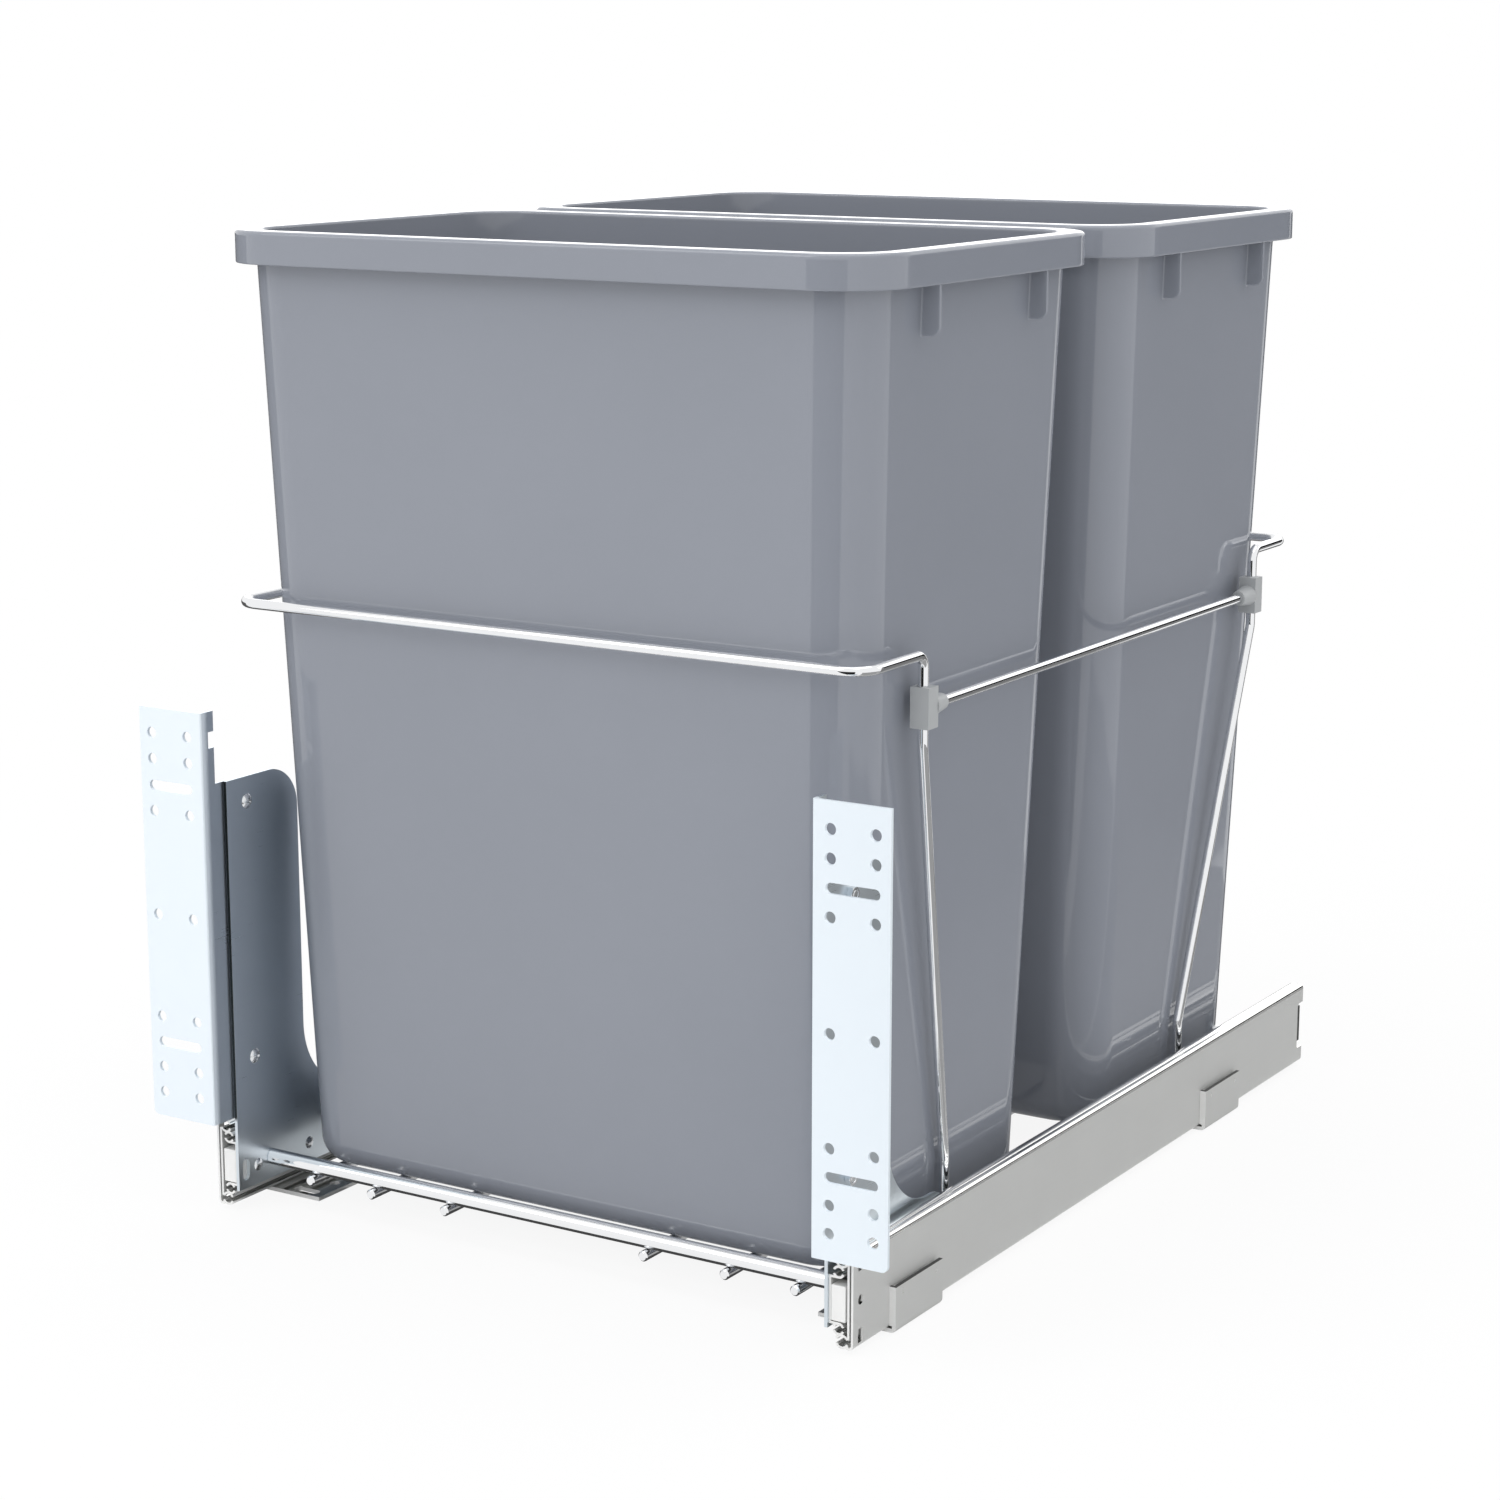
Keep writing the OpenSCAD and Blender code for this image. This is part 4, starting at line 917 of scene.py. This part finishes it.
def pale_floor():
    """White floor that keeps a faint shadow near the frame and runs out into the white surround."""
    half = 30.0
    mesh = bpy.data.meshes.new("pale_floor")
    corners = [(sx * half, sy * half, FLOOR_Z) for sx, sy in ((-1, -1), (1, -1), (1, 1), (-1, 1))]
    mesh.from_pydata(corners, [], [(0, 1, 2, 3)])
    f = Finish("pale_floor_paper")
    matt = f.node("ShaderNodeBsdfDiffuse", {}, {"Color": (0.9, 0.9, 0.9, 1)})
    white = f.node("ShaderNodeEmission", {}, {"Color": (1, 1, 1, 1), "Strength": 1.0})
    away = f.node("ShaderNodeVectorMath", {"operation": "LENGTH"}, {0: f.place}, "Value")
    clear = f.node(
        "ShaderNodeMapRange", {"interpolation_type": "SMOOTHSTEP"},
        {"Value": away, "From Min": 0.3, "From Max": 1.2, "To Min": 0.9, "To Max": 1.0},
    )
    mixed = f.node("ShaderNodeMixShader", {}, {0: clear * f.seen_ray(), 1: matt, 2: white})
    f.node("ShaderNodeOutputMaterial", {}, {"Surface": mixed})
    mesh.materials.append(f.material)
    floor = shown("pale_floor", mesh)


def bearing(start, angle, reach, z):
    """Point at a reach from a start, on a bearing in degrees from straight ahead of the frame to its right."""
    turn = radians(angle)
    return start[0] + reach * sin(turn), start[1] - reach * cos(turn), z


def studio_card(name, tone, corners, fade=None):
    """Studio card that only mirrors see, for the dark and white lines in chrome and gloss.

    A fade gives two places along X and the tone that the card has fallen to at the second.
    """
    mesh = bpy.data.meshes.new(name)
    mesh.from_pydata(corners, [], [tuple(range(len(corners)))])
    f = Finish(name)
    shade, strength = (1, 1, 1, 1), tone
    if fade:
        start, end, far_tone = fade
        shade, strength = f.between(f.ramp(f.part(f.place, "X"), start, end), [tone] * 3, [far_tone] * 3), 1.0
    paper = f.node("ShaderNodeEmission", {}, {"Color": shade, "Strength": strength})
    f.node("ShaderNodeOutputMaterial", {}, {"Surface": paper})
    mesh.materials.append(f.material)
    card = shown(name, mesh)
    card.visible_camera = False
    card.visible_diffuse = False
    card.visible_transmission = False
    card.visible_shadow = False


def upright(name, tone, bearings, reach, low, high):
    """Studio card that stands on an arc round the frame, between two bearings in degrees and two heights."""
    count = 6
    turns = [bearings[0] + (bearings[1] - bearings[0]) * i / count for i in range(count + 1)]
    foot = [bearing((0, 0), turn, reach, low) for turn in turns]
    studio_card(name, tone, foot + [(x, y, high) for x, y, _ in reversed(foot)])


def oblong(low, high, z):
    """Corners of a rectangle on the floor, from its near left corner (x, y) to its far right one."""
    return [(low[0], low[1], z), (high[0], low[1], z), (high[0], high[1], z), (low[0], high[1], z)]


def studio_cards():
    far = 12.0
    under, inside, near, beside = (FLOOR_Z + CARD_STEP * i for i in (1, 2, 3, 4))
    inner_corner = (0.18, 0.3)
    studio_card("floor_card_under", 0.06, oblong((-0.5, -0.235), inner_corner, under))
    studio_card(
        "floor_card_inside", 0.78, oblong((-0.168, -0.19), inner_corner, inside), fade=(-0.165, -0.11, 0.38),
    )
    studio_card("floor_card_ahead", 0.02, [
        (*NEAR_RIGHT, near), bearing(NEAR_RIGHT, -24, far, near),
        bearing(FRONT_CORNER, 37, far, near), bearing(FRONT_CORNER, 37, 0.3, near),
    ])
    studio_card("floor_card_near_right", 0.35, [
        bearing(FRONT_CORNER, turn, reach, near)
        for turn, reach in ((62, 0.15), (62, 0.9), (100, 0.9), (138, 0.9), (138, 0.17))
    ])
    studio_card("floor_card_beside", 0.45, [
        (0.186, -0.25, beside), (0.265, -0.25, beside), bearing(FRONT_CORNER, 140, 0.193, beside),
        bearing(FRONT_CORNER, 140, far, beside), bearing(REAR_RIGHT, 166, far, beside),
        (*REAR_RIGHT, beside), (0.186, REAR_RIGHT[1], beside),
    ], fade=(0.22, 0.45, 0.2))
    studio_card("floor_card_left", 0.1, [
        (*MID_RIGHT, near), bearing(MID_RIGHT, 176, far, near), (-far, far, near),
        bearing(NEAR_LEFT, -75, far, near), (*NEAR_LEFT, near), (NEAR_LEFT[0], MID_RIGHT[1], near),
    ])
    upright("upright_card_beside", 0.0, (139, 167), 3.2, 0.22, 0.95)
    upright("bright_card_beside", 1.5, (128, 190), 3.4, 0.97, 2.4)
    upright("bright_card_behind", 2.0, (192, 232), 3.4, 0.42, 1.6)


def soft_lamp(name, place, size, power):
    """Square lamp of a size in metres and a power in watts."""
    lamp = bpy.data.lights.new(name, "AREA")
    lamp.shape = "SQUARE"
    lamp.size = size
    lamp.energy = power
    holder = bpy.data.objects.new(name, lamp)
    bpy.context.scene.collection.objects.link(holder)
    holder.location = place
    holder.rotation_euler = (Vector(LAMP_TARGET) - Vector(place)).to_track_quat("-Z", "Y").to_euler()


def photo_camera():
    """Camera solved from the photograph's right angles."""
    data = bpy.data.cameras.new("photo_camera")
    data.sensor_fit = "HORIZONTAL"
    data.sensor_width = 36.0
    data.lens = 80.46
    data.clip_end = 200.0
    camera = bpy.data.objects.new("photo_camera", data)
    bpy.context.scene.collection.objects.link(camera)
    right, up, ahead = (0.8492, 0.5280, 0.0), (-0.1108, 0.1782, 0.9778), (-0.5163, 0.8304, -0.2098)
    turn = Matrix((right, up, [-a for a in ahead])).transposed()
    camera.matrix_world = Matrix.Translation((0.8840, -1.4595, 0.5760)) @ turn.to_4x4()
    bpy.context.scene.camera = camera


white_surround()
pale_floor()
studio_cards()
soft_lamp("key_softbox", (-1.5, -2.5, 2.6), size=2.0, power=27.0)
soft_lamp("top_softbox", (0.2, 0.0, 2.8), size=2.5, power=25.0)
photo_camera()
bpy.context.scene.view_settings.view_transform = "Standard"
